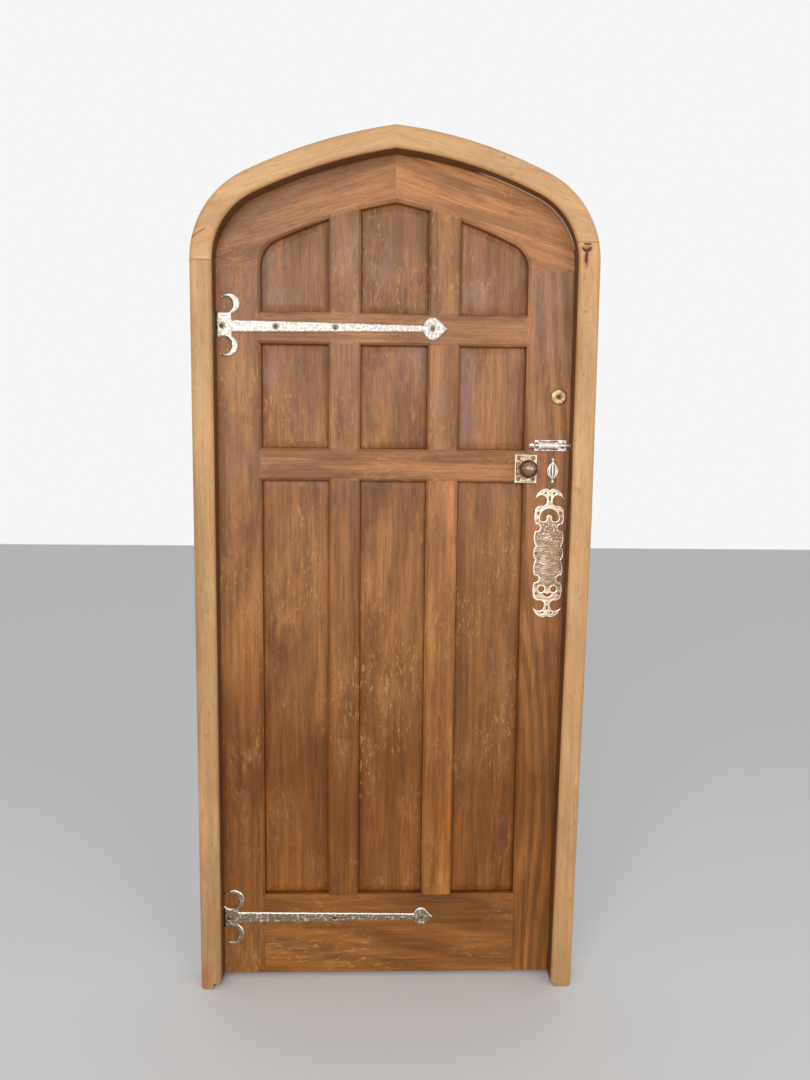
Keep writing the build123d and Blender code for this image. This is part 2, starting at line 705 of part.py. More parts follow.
def lock_jamb():
    """The jamb that takes the bolts. It carries the first of the haunch above the springing."""
    notch_width, notch_height = LOCK_FOOT_NOTCH
    inner = SIGHT_HALF_WIDTH + LOCK_SIDE_SPREAD - LEAN_AT_FOOT
    notch = block(inner - 1, inner + notch_width, FRAME_FRONT - 1, FRAME_BACK + 1, -1, notch_height)
    piece = (lock_side() & below(LOCK_SIDE_JOINT)) - notch
    for dowel in jamb_dowels(1, LOCK_SIDE_JOINT):
        piece = piece - dowel
    piece = piece - strike_plate_blank() - strike_pocket(LATCH_RISE, LATCH_SIZE)
    piece = piece - strike_pocket(-DEAD_BOLT_DROP, DEAD_BOLT_SIZE)
    piece = cut_screws(piece, strike_screws())
    piece = cut_screws(piece, keep_screws())
    return piece - slide_bolt_hole()


def frame_head_piece(side):
    """One curved half of the frame's head."""
    if side > 0:
        piece = lock_side() & above(LOCK_SIDE_JOINT)
        dowels = jamb_dowels(1, LOCK_SIDE_JOINT)
    else:
        piece = hinge_side() & above(HINGE_SIDE_JOINT)
        dowels = jamb_dowels(-1, HINGE_SIDE_JOINT)
    for dowel in dowels + frame_apex_dowels():
        piece = piece - dowel
    return piece


def screw(x, y, z, direction, size):
    """A screw with its domed head seated at a point and its shank driven away from direction."""
    head_radius, rise, shank_radius, length = size
    seat = head_radius - shank_radius
    profile = [
        Line((0, -length), (shank_radius, -length)),
        Line((shank_radius, -length), (shank_radius, -seat)),
        Line((shank_radius, -seat), (head_radius, 0)),
        dome(head_radius, 0, rise),
        Line((0, rise), (0, -length)),
    ]
    body = revolve(Plane.XZ * make_face(profile), axis=Axis.Z)
    return Plane(origin=(x, y, z), z_dir=direction) * body


def cut_screws(piece, screws):
    """Holes for a set of screws, each the screw's own shape."""
    for one in screws:
        piece = piece - one
    return piece


def knuckle_spans():
    """Heights of each knuckle from the hinge's middle, counted from its foot."""
    length = (BUTT_HEIGHT - (KNUCKLE_COUNT - 1) * KNUCKLE_GAP) / KNUCKLE_COUNT
    spans = []
    for number in range(KNUCKLE_COUNT):
        low = -BUTT_HEIGHT / 2 + number * (length + KNUCKLE_GAP)
        spans.append((low, low + length))
    return spans


def butt_plate(side, height):
    """The flat plate of a butt hinge: side -1 is the jamb's, side 1 the leaf's."""
    x0 = PIN_X + side * BUTT_CLOSED_GAP / 2
    x1 = x0 + side * BUTT_PLATE
    y1 = PIN_Y - KNUCKLE_RADIUS - PLATE_TO_KNUCKLE
    y0 = y1 - BUTT_PLATE_WIDTH
    low = height - BUTT_HEIGHT / 2
    return block(min(x0, x1), max(x0, x1), y0, y1, low, low + BUTT_HEIGHT)


def butt_leaf(side, height):
    """One half of a butt hinge, with every other knuckle round the pin."""
    x0 = PIN_X + side * BUTT_CLOSED_GAP / 2
    x1 = x0 + side * BUTT_PLATE
    leaf = butt_plate(side, height)
    first = 0 if side < 0 else 1
    for low, high in knuckle_spans()[first::2]:
        tab_y = PIN_Y - KNUCKLE_RADIUS - PLATE_TO_KNUCKLE - 1
        tab_end = PIN_Y - PIN_RADIUS
        leaf = leaf + block(min(x0, x1), max(x0, x1), tab_y, tab_end, height + low, height + high)
        leaf = leaf + rod(PIN_X, PIN_Y, height + low, KNUCKLE_RADIUS, high - low, (0, 0, 1))
    bore = PIN_RADIUS + RUNNING_CLEARANCE
    leaf = leaf - rod(PIN_X, PIN_Y, height - BUTT_HEIGHT, bore, 2 * BUTT_HEIGHT, (0, 0, 1))
    return cut_screws(leaf, butt_screws(side, height))


def butt_screws(side, height):
    """Three screws through one half of a butt hinge, heads towards the gap."""
    face_x = PIN_X + side * BUTT_CLOSED_GAP / 2
    middle_y = PIN_Y - KNUCKLE_RADIUS - PLATE_TO_KNUCKLE - BUTT_PLATE_WIDTH / 2
    found = []
    for number in (-1, 0, 1):
        z = height + number * BUTT_HEIGHT * 0.35
        y = middle_y + (4.0 if number == 0 else -4.0)
        found.append(screw(face_x, y, z, (-side, 0, 0), BUTT_SCREW))
    return found


def hinge_pin(height):
    """A butt hinge's pin, with a low round head at each end."""
    pin = rod(PIN_X, PIN_Y, height - BUTT_HEIGHT / 2, PIN_RADIUS, BUTT_HEIGHT, (0, 0, 1))
    profile = [
        Line((0, 0), (KNUCKLE_RADIUS - 0.5, 0)),
        dome(KNUCKLE_RADIUS - 0.5, 0, PIN_HEAD),
        Line((0, PIN_HEAD), (0, 0)),
    ]
    tip = revolve(Plane.XZ * make_face(profile), axis=Axis.Z)
    upper = Pos(PIN_X, PIN_Y, height + BUTT_HEIGHT / 2) * tip
    lower = Pos(PIN_X, PIN_Y, height - BUTT_HEIGHT / 2) * mirror(tip, about=Plane.XY)
    return pin + upper + lower


def bevelled(outline, back_y, thickness, grows_outward=False):
    """A plate on the leaf's face with a bevelled front. A cutter's bevel opens outward instead."""
    shift = STRAP_BEVEL if grows_outward else -STRAP_BEVEL
    step_y = back_y - (thickness - STRAP_BEVEL_DEPTH)
    front_y = back_y - thickness
    flat = front_prism(outline(0), step_y, back_y)
    return flat + front_loft(outline(shift), front_y, outline(0), step_y)


def strap_tip_outline(x, z, size, grow):
    """The leaf-shaped end of a strap, drawn out to a point."""
    scale = (size[1] + grow) / size[1]
    back, high, point = (value * scale for value in size)
    edges = []
    for sign in (1, -1):
        edges.append(
            Bezier(
                (x - back, z),
                (x - back, z + sign * 0.6 * high),
                (x - 0.6 * back, z + sign * high),
                (x, z + sign * high),
            )
        )
        edges.append(
            Bezier(
                (x, z + sign * high),
                (x + 0.42 * point, z + sign * high),
                (x + 0.6 * point, z + sign * 0.34 * high),
                (x + point, z),
            )
        )
    return make_face([edges[0], edges[1], edges[3], edges[2]])


def hinge_front(height, reach, crescents, tip_size):
    """A forged hinge front: stepped root, two crescents, a tapering strap and a leaf-shaped end."""
    root_x = -SIGHT_HALF_WIDTH + STRAP_TO_STOP
    tip_x = root_x + reach

    def disc(spec, sign):
        dx, dz, radius = spec
        return lambda grow: Pos(root_x + dx, height + sign * dz) * Circle(radius + grow)

    def strap(grow):
        start = root_x + ROOT_LENGTH / 2
        high = STRAP_ROOT_WIDTH / 2 + grow
        low = STRAP_TIP_WIDTH / 2 + grow
        points = [(start, height - high), (tip_x, height - low), (tip_x, height + low)]
        return make_face(Polyline(*points, (start, height + high), close=True))

    def root(grow):
        return rectangle(
            root_x - grow, root_x + ROOT_LENGTH + grow, height - ROOT_BELOW - grow,
            height + ROOT_ABOVE + grow,
        )

    piece = bevelled(root, LEAF_FRONT, STRAP_THICKNESS)
    for sign, (outer, inner) in zip((1, -1), crescents):
        piece = piece + bevelled(disc(outer, sign), LEAF_FRONT, STRAP_THICKNESS)
    for sign, (outer, inner) in zip((1, -1), crescents):
        piece = piece - bevelled(disc(inner, sign), LEAF_FRONT, STRAP_THICKNESS, True)
    piece = piece + bevelled(strap, LEAF_FRONT, STRAP_THICKNESS)

    def tip_outline(grow):
        return strap_tip_outline(tip_x, height, tip_size, grow)

    tip = bevelled(tip_outline, LEAF_FRONT, STRAP_THICKNESS)
    return cut_screws(piece + tip, strap_screws(height, reach))


def strap_screws(height, reach):
    """The four screws of one hinge front."""
    root_x = -SIGHT_HALF_WIDTH + STRAP_TO_STOP
    y = LEAF_FRONT - STRAP_THICKNESS
    return [screw(root_x + run, y, height, (0, -1, 0), STRAP_SCREW) for run in STRAP_SCREWS + (reach,)]


def knob_plate_blank():
    """The knob's rectangular plate with eased edges, before its holes."""
    x0, x1 = KNOB_X - KNOB_PLATE_WIDTH / 2, KNOB_X + KNOB_PLATE_WIDTH / 2
    z0, z1 = LOCK_HEIGHT - KNOB_PLATE_HEIGHT / 2, LOCK_HEIGHT + KNOB_PLATE_HEIGHT / 2
    front = LEAF_FRONT - KNOB_PLATE_THICKNESS
    plate = block(x0, x1, front, LEAF_FRONT, z0, z1)
    return chamfer(plate.faces().sort_by(Axis.Y)[0].edges(), 1.2)


def knob_plate():
    """The front plate, bored for the knob's collar, with a screw in each corner."""
    hole = rod(KNOB_X, LEAF_FRONT + 1, LOCK_HEIGHT, KNOB_NECK_RADIUS + RUNNING_CLEARANCE, 20, (0, -1, 0))
    return cut_screws(knob_plate_blank() - hole, knob_plate_screws())


def knob_plate_screws():
    """Four small screws in the corners of the knob's plate."""
    dx = KNOB_PLATE_WIDTH / 2 - KNOB_PLATE_SCREW_INSET
    dz = KNOB_PLATE_HEIGHT / 2 - KNOB_PLATE_SCREW_INSET
    y = LEAF_FRONT - KNOB_PLATE_THICKNESS
    found = []
    for sx in (-1, 1):
        for sz in (-1, 1):
            x, z = KNOB_X + sx * dx, LOCK_HEIGHT + sz * dz
            found.append(screw(x, y, z, (0, -1, 0), PLATE_SCREW))
    return found


def knob():
    """The front knob: a collar against the plate, a waisted neck and a full round grip."""
    face = KNOB_PLATE_THICKNESS + COVER_GAP
    neck_end = face + KNOB_COLLAR_LENGTH
    grip_start = KNOB_FROM_FACE - KNOB_LENGTH
    middle = grip_start + KNOB_LENGTH / 2
    profile = [
        Line((0, 0.5), (KNOB_NECK_RADIUS, 0.5)),
        Line((KNOB_NECK_RADIUS, 0.5), (KNOB_NECK_RADIUS, face)),
        Line((KNOB_NECK_RADIUS, face), (KNOB_COLLAR_RADIUS, face)),
        Line((KNOB_COLLAR_RADIUS, face), (KNOB_COLLAR_RADIUS, neck_end)),
        ThreePointArc(
            (KNOB_COLLAR_RADIUS, neck_end),
            (KNOB_NECK_RADIUS, (neck_end + grip_start) / 2),
            (KNOB_COLLAR_RADIUS, grip_start),
        ),
        ThreePointArc(
            (KNOB_COLLAR_RADIUS, grip_start),
            (KNOB_RADIUS * 0.93, middle - KNOB_LENGTH * 0.27),
            (KNOB_RADIUS, middle),
        ),
        dome(KNOB_RADIUS, middle, KNOB_FROM_FACE),
        Line((0, KNOB_FROM_FACE), (0, 0.5)),
    ]
    body = revolve(Plane.XZ * make_face(profile), axis=Axis.Z)
    body = Plane(origin=(KNOB_X, LEAF_FRONT, LOCK_HEIGHT), z_dir=(0, -1, 0)) * body
    return body - square_bar()


def square_bar():
    """The square bar that both knobs are fixed to."""
    reach = LEAF_THICKNESS / 2 + KNOB_FROM_FACE - KNOB_LENGTH
    half = SPINDLE_SIDE / 2
    return block(KNOB_X - half, KNOB_X + half, -reach, reach, LOCK_HEIGHT - half, LOCK_HEIGHT + half)


def lock_case_blank():
    """The space that the lock takes in the stile: its case and its forend."""
    half = LOCK_CASE_THICKNESS / 2
    case = block(
        LEAF_HALF_WIDTH - LOCK_CASE_LENGTH,
        LEAF_HALF_WIDTH,
        -half,
        half,
        LOCK_HEIGHT - LOCK_CASE_BELOW,
        LOCK_HEIGHT + LOCK_CASE_ABOVE,
    )
    forend = block(
        LEAF_HALF_WIDTH - FOREND_THICKNESS,
        LEAF_HALF_WIDTH,
        -FOREND_WIDTH / 2,
        FOREND_WIDTH / 2,
        LOCK_HEIGHT - FOREND_HEIGHT / 2,
        LOCK_HEIGHT + FOREND_HEIGHT / 2,
    )
    return case + forend


def bolt_blank(rise, size, play, throw):
    """A bolt's block behind the leaf's edge, or with play and throw the channel it runs in."""
    length, thick, high = size
    return block(
        LEAF_HALF_WIDTH - length - play,
        LEAF_HALF_WIDTH + throw,
        -thick / 2 - play,
        thick / 2 + play,
        LOCK_HEIGHT + rise - high / 2 - play,
        LOCK_HEIGHT + rise + high / 2 + play,
    )


def keyhole(y0, y1):
    """A keyhole right through whatever lies between two depths."""
    width, drop = KEYHOLE_SLOT
    face = Pos(KEYHOLE_X, keyhole_height()) * Circle(KEYHOLE_RADIUS)
    low = keyhole_height() - drop
    face = face + rectangle(KEYHOLE_X - width / 2, KEYHOLE_X + width / 2, low, keyhole_height())
    return front_prism(face, y0, y1)


def keyhole_height():
    """Height of the keyhole's round top."""
    return LOCK_HEIGHT - ESCUTCHEON_DROP


def lock_case():
    """The mortice lock's case and forend, with channels for both bolts and the knob's follower."""
    case = lock_case_blank() - bolt_blank(LATCH_RISE, LATCH_SIZE, BOLT_PLAY, 1)
    case = case - bolt_blank(-DEAD_BOLT_DROP, DEAD_BOLT_SIZE, BOLT_PLAY, 1)
    hole = rod(
        KNOB_X, -LEAF_THICKNESS, LOCK_HEIGHT, FOLLOWER_RADIUS + RUNNING_CLEARANCE, 2 * LEAF_THICKNESS,
        (0, 1, 0),
    )
    case = case - hole - keyhole(-LEAF_THICKNESS, LEAF_THICKNESS)
    return cut_screws(case, forend_screws())


def forend_screws():
    """Two screws that hold the lock in the stile's edge."""
    found = []
    for sign in (-1, 1):
        z = LOCK_HEIGHT + sign * (FOREND_HEIGHT / 2 - 8)
        found.append(screw(LEAF_HALF_WIDTH, 0, z, (1, 0, 0), BUTT_SCREW))
    return found


def spindle():
    """The square bar with the round follower that works the latch inside the lock."""
    length = LOCK_CASE_THICKNESS
    return square_bar() + rod(KNOB_X, -length / 2, LOCK_HEIGHT, FOLLOWER_RADIUS, length, (0, 1, 0))


def latch_bolt():
    """The spring latch's bolt, drawn back level with the forend, with its nose bevelled."""
    bolt = bolt_blank(LATCH_RISE, LATCH_SIZE, 0, 0)
    length, thick, high = LATCH_SIZE
    wedge = [
        (LEAF_HALF_WIDTH + 1, -thick / 2 - 1),
        (LEAF_HALF_WIDTH + 1, thick / 2 - 2),
        (LEAF_HALF_WIDTH - BOLT_THROW + 1, -thick / 2 - 1),
    ]
    cut = extrude(
        Pos(0, 0, LOCK_HEIGHT + LATCH_RISE - high) * make_face(Polyline(*wedge, close=True)),
        amount=2 * high,
        dir=(0, 0, 1),
    )
    return bolt - cut


def dead_bolt():
    """The square bolt that the key shoots, drawn back level with the forend."""
    return bolt_blank(-DEAD_BOLT_DROP, DEAD_BOLT_SIZE, 0, 0)


def strike_plate_blank():
    """The strike plate's block, let in flush with the rebate."""
    return block(
        REBATE_HALF_WIDTH,
        REBATE_HALF_WIDTH + FOREND_THICKNESS,
        -FOREND_WIDTH / 2,
        FOREND_WIDTH / 2,
        LOCK_HEIGHT - FOREND_HEIGHT / 2,
        LOCK_HEIGHT + FOREND_HEIGHT / 2,
    )


def strike_pocket(rise, size):
    """The hole in strike plate and jamb that takes one of the lock's bolts."""
    length, thick, high = size
    return block(
        REBATE_HALF_WIDTH - 1,
        LEAF_HALF_WIDTH + BOLT_THROW + STRIKE_ROOM,
        -thick / 2 - STRIKE_ROOM,
        thick / 2 + STRIKE_ROOM,
        LOCK_HEIGHT + rise - high / 2 - STRIKE_ROOM,
        LOCK_HEIGHT + rise + high / 2 + STRIKE_ROOM,
    )


def strike_plate():
    """The strike plate, with a hole for the latch and one for the dead bolt."""
    plate = strike_plate_blank() - strike_pocket(LATCH_RISE, LATCH_SIZE)
    plate = plate - strike_pocket(-DEAD_BOLT_DROP, DEAD_BOLT_SIZE)
    return cut_screws(plate, strike_screws())


def strike_screws():
    """Two screws through the strike plate."""
    found = []
    for sign in (-1, 1):
        z = LOCK_HEIGHT + sign * (FOREND_HEIGHT / 2 - 8)
        found.append(screw(REBATE_HALF_WIDTH, 0, z, (-1, 0, 0), BUTT_SCREW))
    return found


def leaf_shape(half_width, half_height, centre_z):
    """A pointed oval as seen from the front, over the keyhole."""
    edges = []
    for sign in (1, -1):
        edges.append(
            ThreePointArc(
                (KEYHOLE_X, centre_z + half_height),
                (KEYHOLE_X + sign * half_width, centre_z),
                (KEYHOLE_X, centre_z - half_height),
            )
        )
    return make_face(edges)


def escutcheon_face():
    """The keyhole plate's outline: a pointed oval between two small finials."""
    half_width, half_height = ESCUTCHEON_BODY
    face = leaf_shape(half_width, half_height, keyhole_height())
    reach = ESCUTCHEON_HEIGHT / 2
    for sign in (-1, 1):
        bead = 2.6
        face = face + Pos(KEYHOLE_X, keyhole_height() + sign * (reach - bead)) * Circle(bead)
        neck = sign * (half_height - 2)
        low = min(neck, sign * (reach - bead))
        high = max(neck, sign * (reach - bead))
        face = face + rectangle(
            KEYHOLE_X - 1.5, KEYHOLE_X + 1.5, keyhole_height() + low, keyhole_height() + high
        )
    return face


def cover_pivot(y_front, radius):
    """The rivet that the keyhole's cover hangs on."""
    z = keyhole_height() + COVER_PIVOT_RISE
    return rod(KEYHOLE_X, LEAF_FRONT, z, radius, LEAF_FRONT - y_front, (0, -1, 0))


def escutcheon():
    """The keyhole plate, with its keyhole and the rivet for the cover."""
    back = LEAF_FRONT
    plate = front_prism(escutcheon_face(), back - ESCUTCHEON_THICKNESS, back)
    plate = plate - keyhole(back - 10, back + 1)
    reach = ESCUTCHEON_THICKNESS + COVER_GAP + COVER_THICKNESS + COVER_GAP
    rivet = cover_pivot(back - reach, COVER_PIVOT_RADIUS)
    head_z = keyhole_height() + COVER_PIVOT_RISE
    head = rod(KEYHOLE_X, back - reach, head_z, 1.7 * COVER_PIVOT_RADIUS, 1.2, (0, -1, 0))
    return plate + rivet + head


def rear_escutcheon():
    """The plain keyhole plate on the leaf's back."""
    half_width, half_height = ESCUTCHEON_BODY
    face = leaf_shape(half_width, half_height, keyhole_height())
    plate = front_prism(face, LEAF_BACK, LEAF_BACK + ESCUTCHEON_THICKNESS)
    return plate - keyhole(LEAF_BACK - 1, LEAF_BACK + 10)


def keyhole_cover():
    """The swinging cover: a ribbed pointed oval that hangs from its rivet."""
    half_width, half_height = ESCUTCHEON_BODY
    back = LEAF_FRONT - ESCUTCHEON_THICKNESS - COVER_GAP
    front = back - COVER_THICKNESS
    centre = keyhole_height() - 0.5
    width, height = half_width - 2.4, half_height + 1.0
    face = leaf_shape(width, height, centre)
    cover = front_prism(face, back - COVER_THICKNESS * 0.55, back)
    for shift in (-0.55, 0.0, 0.55):
        inner = leaf_shape(width * 0.2, height * (0.9 - 0.35 * abs(shift)), centre)
        rib = front_prism(Pos(shift * width, 0) * inner, front, back)
        cover = cover + (rib & front_prism(face, front, back))
    clear = rod(
        KEYHOLE_X, LEAF_FRONT, keyhole_height() + COVER_PIVOT_RISE, 1.7 * COVER_PIVOT_RADIUS + 0.6,
        LEAF_FRONT - front + 5, (0, -1, 0),
    )
    boss = rod(
        KEYHOLE_X, back, keyhole_height() + COVER_PIVOT_RISE, 2.4 * COVER_PIVOT_RADIUS,
        COVER_THICKNESS, (0, -1, 0),
    )
    cover = cover - clear + boss
    return cover - cover_pivot(front - 5, COVER_PIVOT_RADIUS + RUNNING_CLEARANCE)


def cylinder_rod(radius, y0, y1):
    """A round bar on the night latch's cylinder axis."""
    return rod(CYLINDER_X, y0, CYLINDER_HEIGHT, radius, y1 - y0, (0, 1, 0))


def latch_cylinder():
    """The night latch's cylinder through the stile, behind its domed ring."""
    front = LEAF_FRONT - CYLINDER_RING_THICKNESS
    profile = [
        Line((0, 0), (CYLINDER_RING_RADIUS, 0)),
        Line((CYLINDER_RING_RADIUS, 0), (CYLINDER_RING_RADIUS, 1.2)),
        ThreePointArc(
            (CYLINDER_RING_RADIUS, 1.2),
            (CYLINDER_RING_RADIUS - 2.2, CYLINDER_RING_THICKNESS - 0.8),
            (CYLINDER_RADIUS - 1, CYLINDER_RING_THICKNESS),
        ),
        Line((CYLINDER_RADIUS - 1, CYLINDER_RING_THICKNESS), (0, CYLINDER_RING_THICKNESS)),
        Line((0, CYLINDER_RING_THICKNESS), (0, 0)),
    ]
    ring = revolve(Plane.XZ * make_face(profile), axis=Axis.Z)
    ring = Plane(origin=(CYLINDER_X, LEAF_FRONT, CYLINDER_HEIGHT), z_dir=(0, -1, 0)) * ring
    body = ring + cylinder_rod(CYLINDER_RADIUS, LEAF_FRONT, LEAF_BACK)
    return body - cylinder_rod(PLUG_RADIUS + RUNNING_CLEARANCE, front - 1, LEAF_BACK + 1)


def cylinder_plug():
    """The plug that the key turns, with its keyway in front and its flat tail bar behind."""
    front = LEAF_FRONT - CYLINDER_RING_THICKNESS
    plug = cylinder_rod(PLUG_RADIUS, front, LEAF_BACK)
    keyway = block(
        CYLINDER_X - 0.8, CYLINDER_X + 0.8, front - 1, front + 18, CYLINDER_HEIGHT - 4.5,
        CYLINDER_HEIGHT + 3.5,
    )
    tail = block(
        CYLINDER_X - 1, CYLINDER_X + 1, LEAF_BACK - 1, LEAF_BACK + NIGHT_CASE[1] / 2,
        CYLINDER_HEIGHT - 4, CYLINDER_HEIGHT + 4,
    )
    return plug - keyway + tail


def night_case_blank():
    """The outer block of the night latch's case on the leaf's back."""
    length, depth, height = NIGHT_CASE
    x1 = LEAF_HALF_WIDTH - NIGHT_CASE_FROM_EDGE
    z0 = CYLINDER_HEIGHT - height / 2
    return block(x1 - length, x1, LEAF_BACK, LEAF_BACK + depth, z0, z0 + height)


def night_bolt_blank(play, throw):
    """The night latch's bolt, or with play and throw the channel it runs in."""
    length, thick, high = NIGHT_BOLT
    x1 = LEAF_HALF_WIDTH - NIGHT_CASE_FROM_EDGE
    y0 = LEAF_BACK + (NIGHT_CASE[1] - thick) / 2
    z = CYLINDER_HEIGHT + NIGHT_CASE[2] / 2 - high
    return block(
        x1 - length - play, x1 + throw, y0 - play, y0 + thick + play,
        z - high / 2 - play, z + high / 2 + play,
    )


def night_latch_case():
    """The night latch's case, bored for its hub and cut for its bolt."""
    case = night_case_blank()
    case = fillet(case.faces().sort_by(Axis.Y)[-1].edges(), 3.0)
    case = case - night_bolt_blank(BOLT_PLAY, 1)
    return case - cylinder_rod(NIGHT_HUB_RADIUS + RUNNING_CLEARANCE, LEAF_BACK - 1, LEAF_BACK + 60)


def night_latch_knob():
    """The inner knob and hub of the night latch, slotted for the cylinder's tail bar."""
    start = LEAF_BACK + 1.0
    case_back = LEAF_BACK + NIGHT_CASE[1]
    hub = cylinder_rod(NIGHT_HUB_RADIUS, start, case_back + COVER_GAP)
    profile = [
        Line((0, 0), (NIGHT_KNOB_RADIUS * 0.8, 0)),
        ThreePointArc(
            (NIGHT_KNOB_RADIUS * 0.8, 0),
            (NIGHT_KNOB_RADIUS, NIGHT_KNOB_LENGTH * 0.5),
            (NIGHT_KNOB_RADIUS * 0.7, NIGHT_KNOB_LENGTH),
        ),
        Line((NIGHT_KNOB_RADIUS * 0.7, NIGHT_KNOB_LENGTH), (0, NIGHT_KNOB_LENGTH)),
        Line((0, NIGHT_KNOB_LENGTH), (0, 0)),
    ]
    grip = revolve(Plane.XZ * make_face(profile), axis=Axis.Z)
    origin = (CYLINDER_X, case_back + COVER_GAP, CYLINDER_HEIGHT)
    grip = Plane(origin=origin, z_dir=(0, 1, 0)) * grip
    slot = block(
        CYLINDER_X - 1.3, CYLINDER_X + 1.3, LEAF_BACK, LEAF_BACK + NIGHT_CASE[1] / 2 + 1,
        CYLINDER_HEIGHT - 4.3, CYLINDER_HEIGHT + 4.3,
    )
    return hub + grip - slot


def night_latch_bolt():
    """The night latch's bolt, drawn back into its case."""
    return night_bolt_blank(0, 0)


def night_keep():
    """The box keep on the jamb's back that the night latch shoots into."""
    length, depth, height = NIGHT_CASE
    x0 = REBATE_HALF_WIDTH
    x1 = FRAME_HALF_WIDTH - 3
    z_mid = CYLINDER_HEIGHT + NIGHT_CASE[2] / 2 - NIGHT_BOLT[2]
    z0, z1 = z_mid - NIGHT_BOLT[2], z_mid + NIGHT_BOLT[2]
    box = block(x0, x1, FRAME_BACK, FRAME_BACK + depth, z0, z1)
    box = fillet(box.faces().sort_by(Axis.Y)[-1].edges(), 2.0)
    hollow = block(
        x0 - 1, x0 + NIGHT_BOLT_THROW + 3, FRAME_BACK + KEEP_WALL, FRAME_BACK + depth - KEEP_WALL,
        z_mid - NIGHT_BOLT[2] / 2 - STRIKE_ROOM, z_mid + NIGHT_BOLT[2] / 2 + STRIKE_ROOM,
    )
    return cut_screws(box - hollow, keep_screws())


def keep_screws():
    """Two screws that hold the keep to the jamb."""
    z_mid = CYLINDER_HEIGHT + NIGHT_CASE[2] / 2 - NIGHT_BOLT[2]
    x = FRAME_HALF_WIDTH - 10
    y = FRAME_BACK + NIGHT_CASE[1]
    found = []
    for sign in (-1, 1):
        z = z_mid + sign * 12
        found.append(screw(x, y, z, (0, 1, 0), KEEP_SCREW))
    return found


def stop_face_x(height):
    """Where the leaning lock jamb's stop faces the opening, at a height."""
    if height >= LEAN_START_HEIGHT:
        return SIGHT_HALF_WIDTH + LOCK_SIDE_SPREAD
    lean = LEAN_AT_FOOT * (1 - height / LEAN_START_HEIGHT)
    return SIGHT_HALF_WIDTH + LOCK_SIDE_SPREAD - lean


def slide_plate_left():
    """Where the slide bolt's plate begins, counted back from its end by the stop."""
    return stop_face_x(SLIDE_BOLT_HEIGHT) - SLIDE_PLATE_TO_STOP - SLIDE_PLATE_LENGTH


def slide_bar_y():
    """Depth of the slide bolt's bar."""
    return LEAF_FRONT - SLIDE_PLATE_THICKNESS - SLIDE_BAR_LIFT


def slide_bar_rod(radius, x0, x1):
    """A round bar on the slide bolt's axis."""
    return rod(x0, slide_bar_y(), SLIDE_BOLT_HEIGHT, radius, x1 - x0, (1, 0, 0))


def slide_bolt_body():
    """The slide bolt's plate with its two collars and the fluted barrel between them."""
    x1 = stop_face_x(SLIDE_BOLT_HEIGHT) - SLIDE_PLATE_TO_STOP
    z0 = SLIDE_BOLT_HEIGHT - SLIDE_PLATE_HEIGHT / 2
    back = LEAF_FRONT
    plate = block(
        slide_plate_left(), x1, back - SLIDE_PLATE_THICKNESS, back, z0, z0 + SLIDE_PLATE_HEIGHT
    )
    collar_1 = slide_plate_left() + COLLAR_START
    barrel_start = collar_1 + COLLAR_LENGTHS[0]
    barrel_end = barrel_start + BARREL_LENGTH
    body = plate + bridge(collar_1, barrel_start, COLLAR_HALF_HEIGHT, COLLAR_FRONT)
    body = body + bridge(barrel_start, barrel_end, BARREL_HALF_HEIGHT, BARREL_FRONT)
    end = barrel_end + COLLAR_LENGTHS[1]
    body = body + bridge(barrel_end, end, COLLAR_HALF_HEIGHT, COLLAR_FRONT)
    flute_y = back - BARREL_FRONT
    for sign in (-1, 1):
        z = SLIDE_BOLT_HEIGHT + sign * BARREL_HALF_HEIGHT * 0.36
        body = body - rod(barrel_start, flute_y, z, 1.0, BARREL_LENGTH, (1, 0, 0))
    body = body - slide_bar_rod(SLIDE_BAR_RADIUS + RUNNING_CLEARANCE, slide_plate_left() - 1, x1 + 1)
    return cut_screws(body, slide_bolt_screws())


def bridge(x0, x1, half_height, reach):
    """A low bridge over the slide bolt's bar, with its shoulders rounded."""
    shape = block(
        x0, x1, LEAF_FRONT - reach, LEAF_FRONT - SLIDE_PLATE_THICKNESS,
        SLIDE_BOLT_HEIGHT - half_height, SLIDE_BOLT_HEIGHT + half_height,
    )
    edges = shape.faces().sort_by(Axis.Y)[0].edges().filter_by(Axis.X)
    return fillet(edges, 0.6 * (reach - SLIDE_PLATE_THICKNESS))


def slide_bolt_screws():
    """Two screws at each end of the slide bolt's plate."""
    x1 = stop_face_x(SLIDE_BOLT_HEIGHT) - SLIDE_PLATE_TO_STOP
    y = LEAF_FRONT - SLIDE_PLATE_THICKNESS
    found = []
    left_inset, right_inset = SLIDE_SCREW_INSETS
    for x in (slide_plate_left() + left_inset, x1 - right_inset):
        for sign in (-1, 1):
            z = SLIDE_BOLT_HEIGHT + sign * SLIDE_SCREW_RISE
            found.append(screw(x, y, z, (0, -1, 0), PIN_SCREW))
    return found


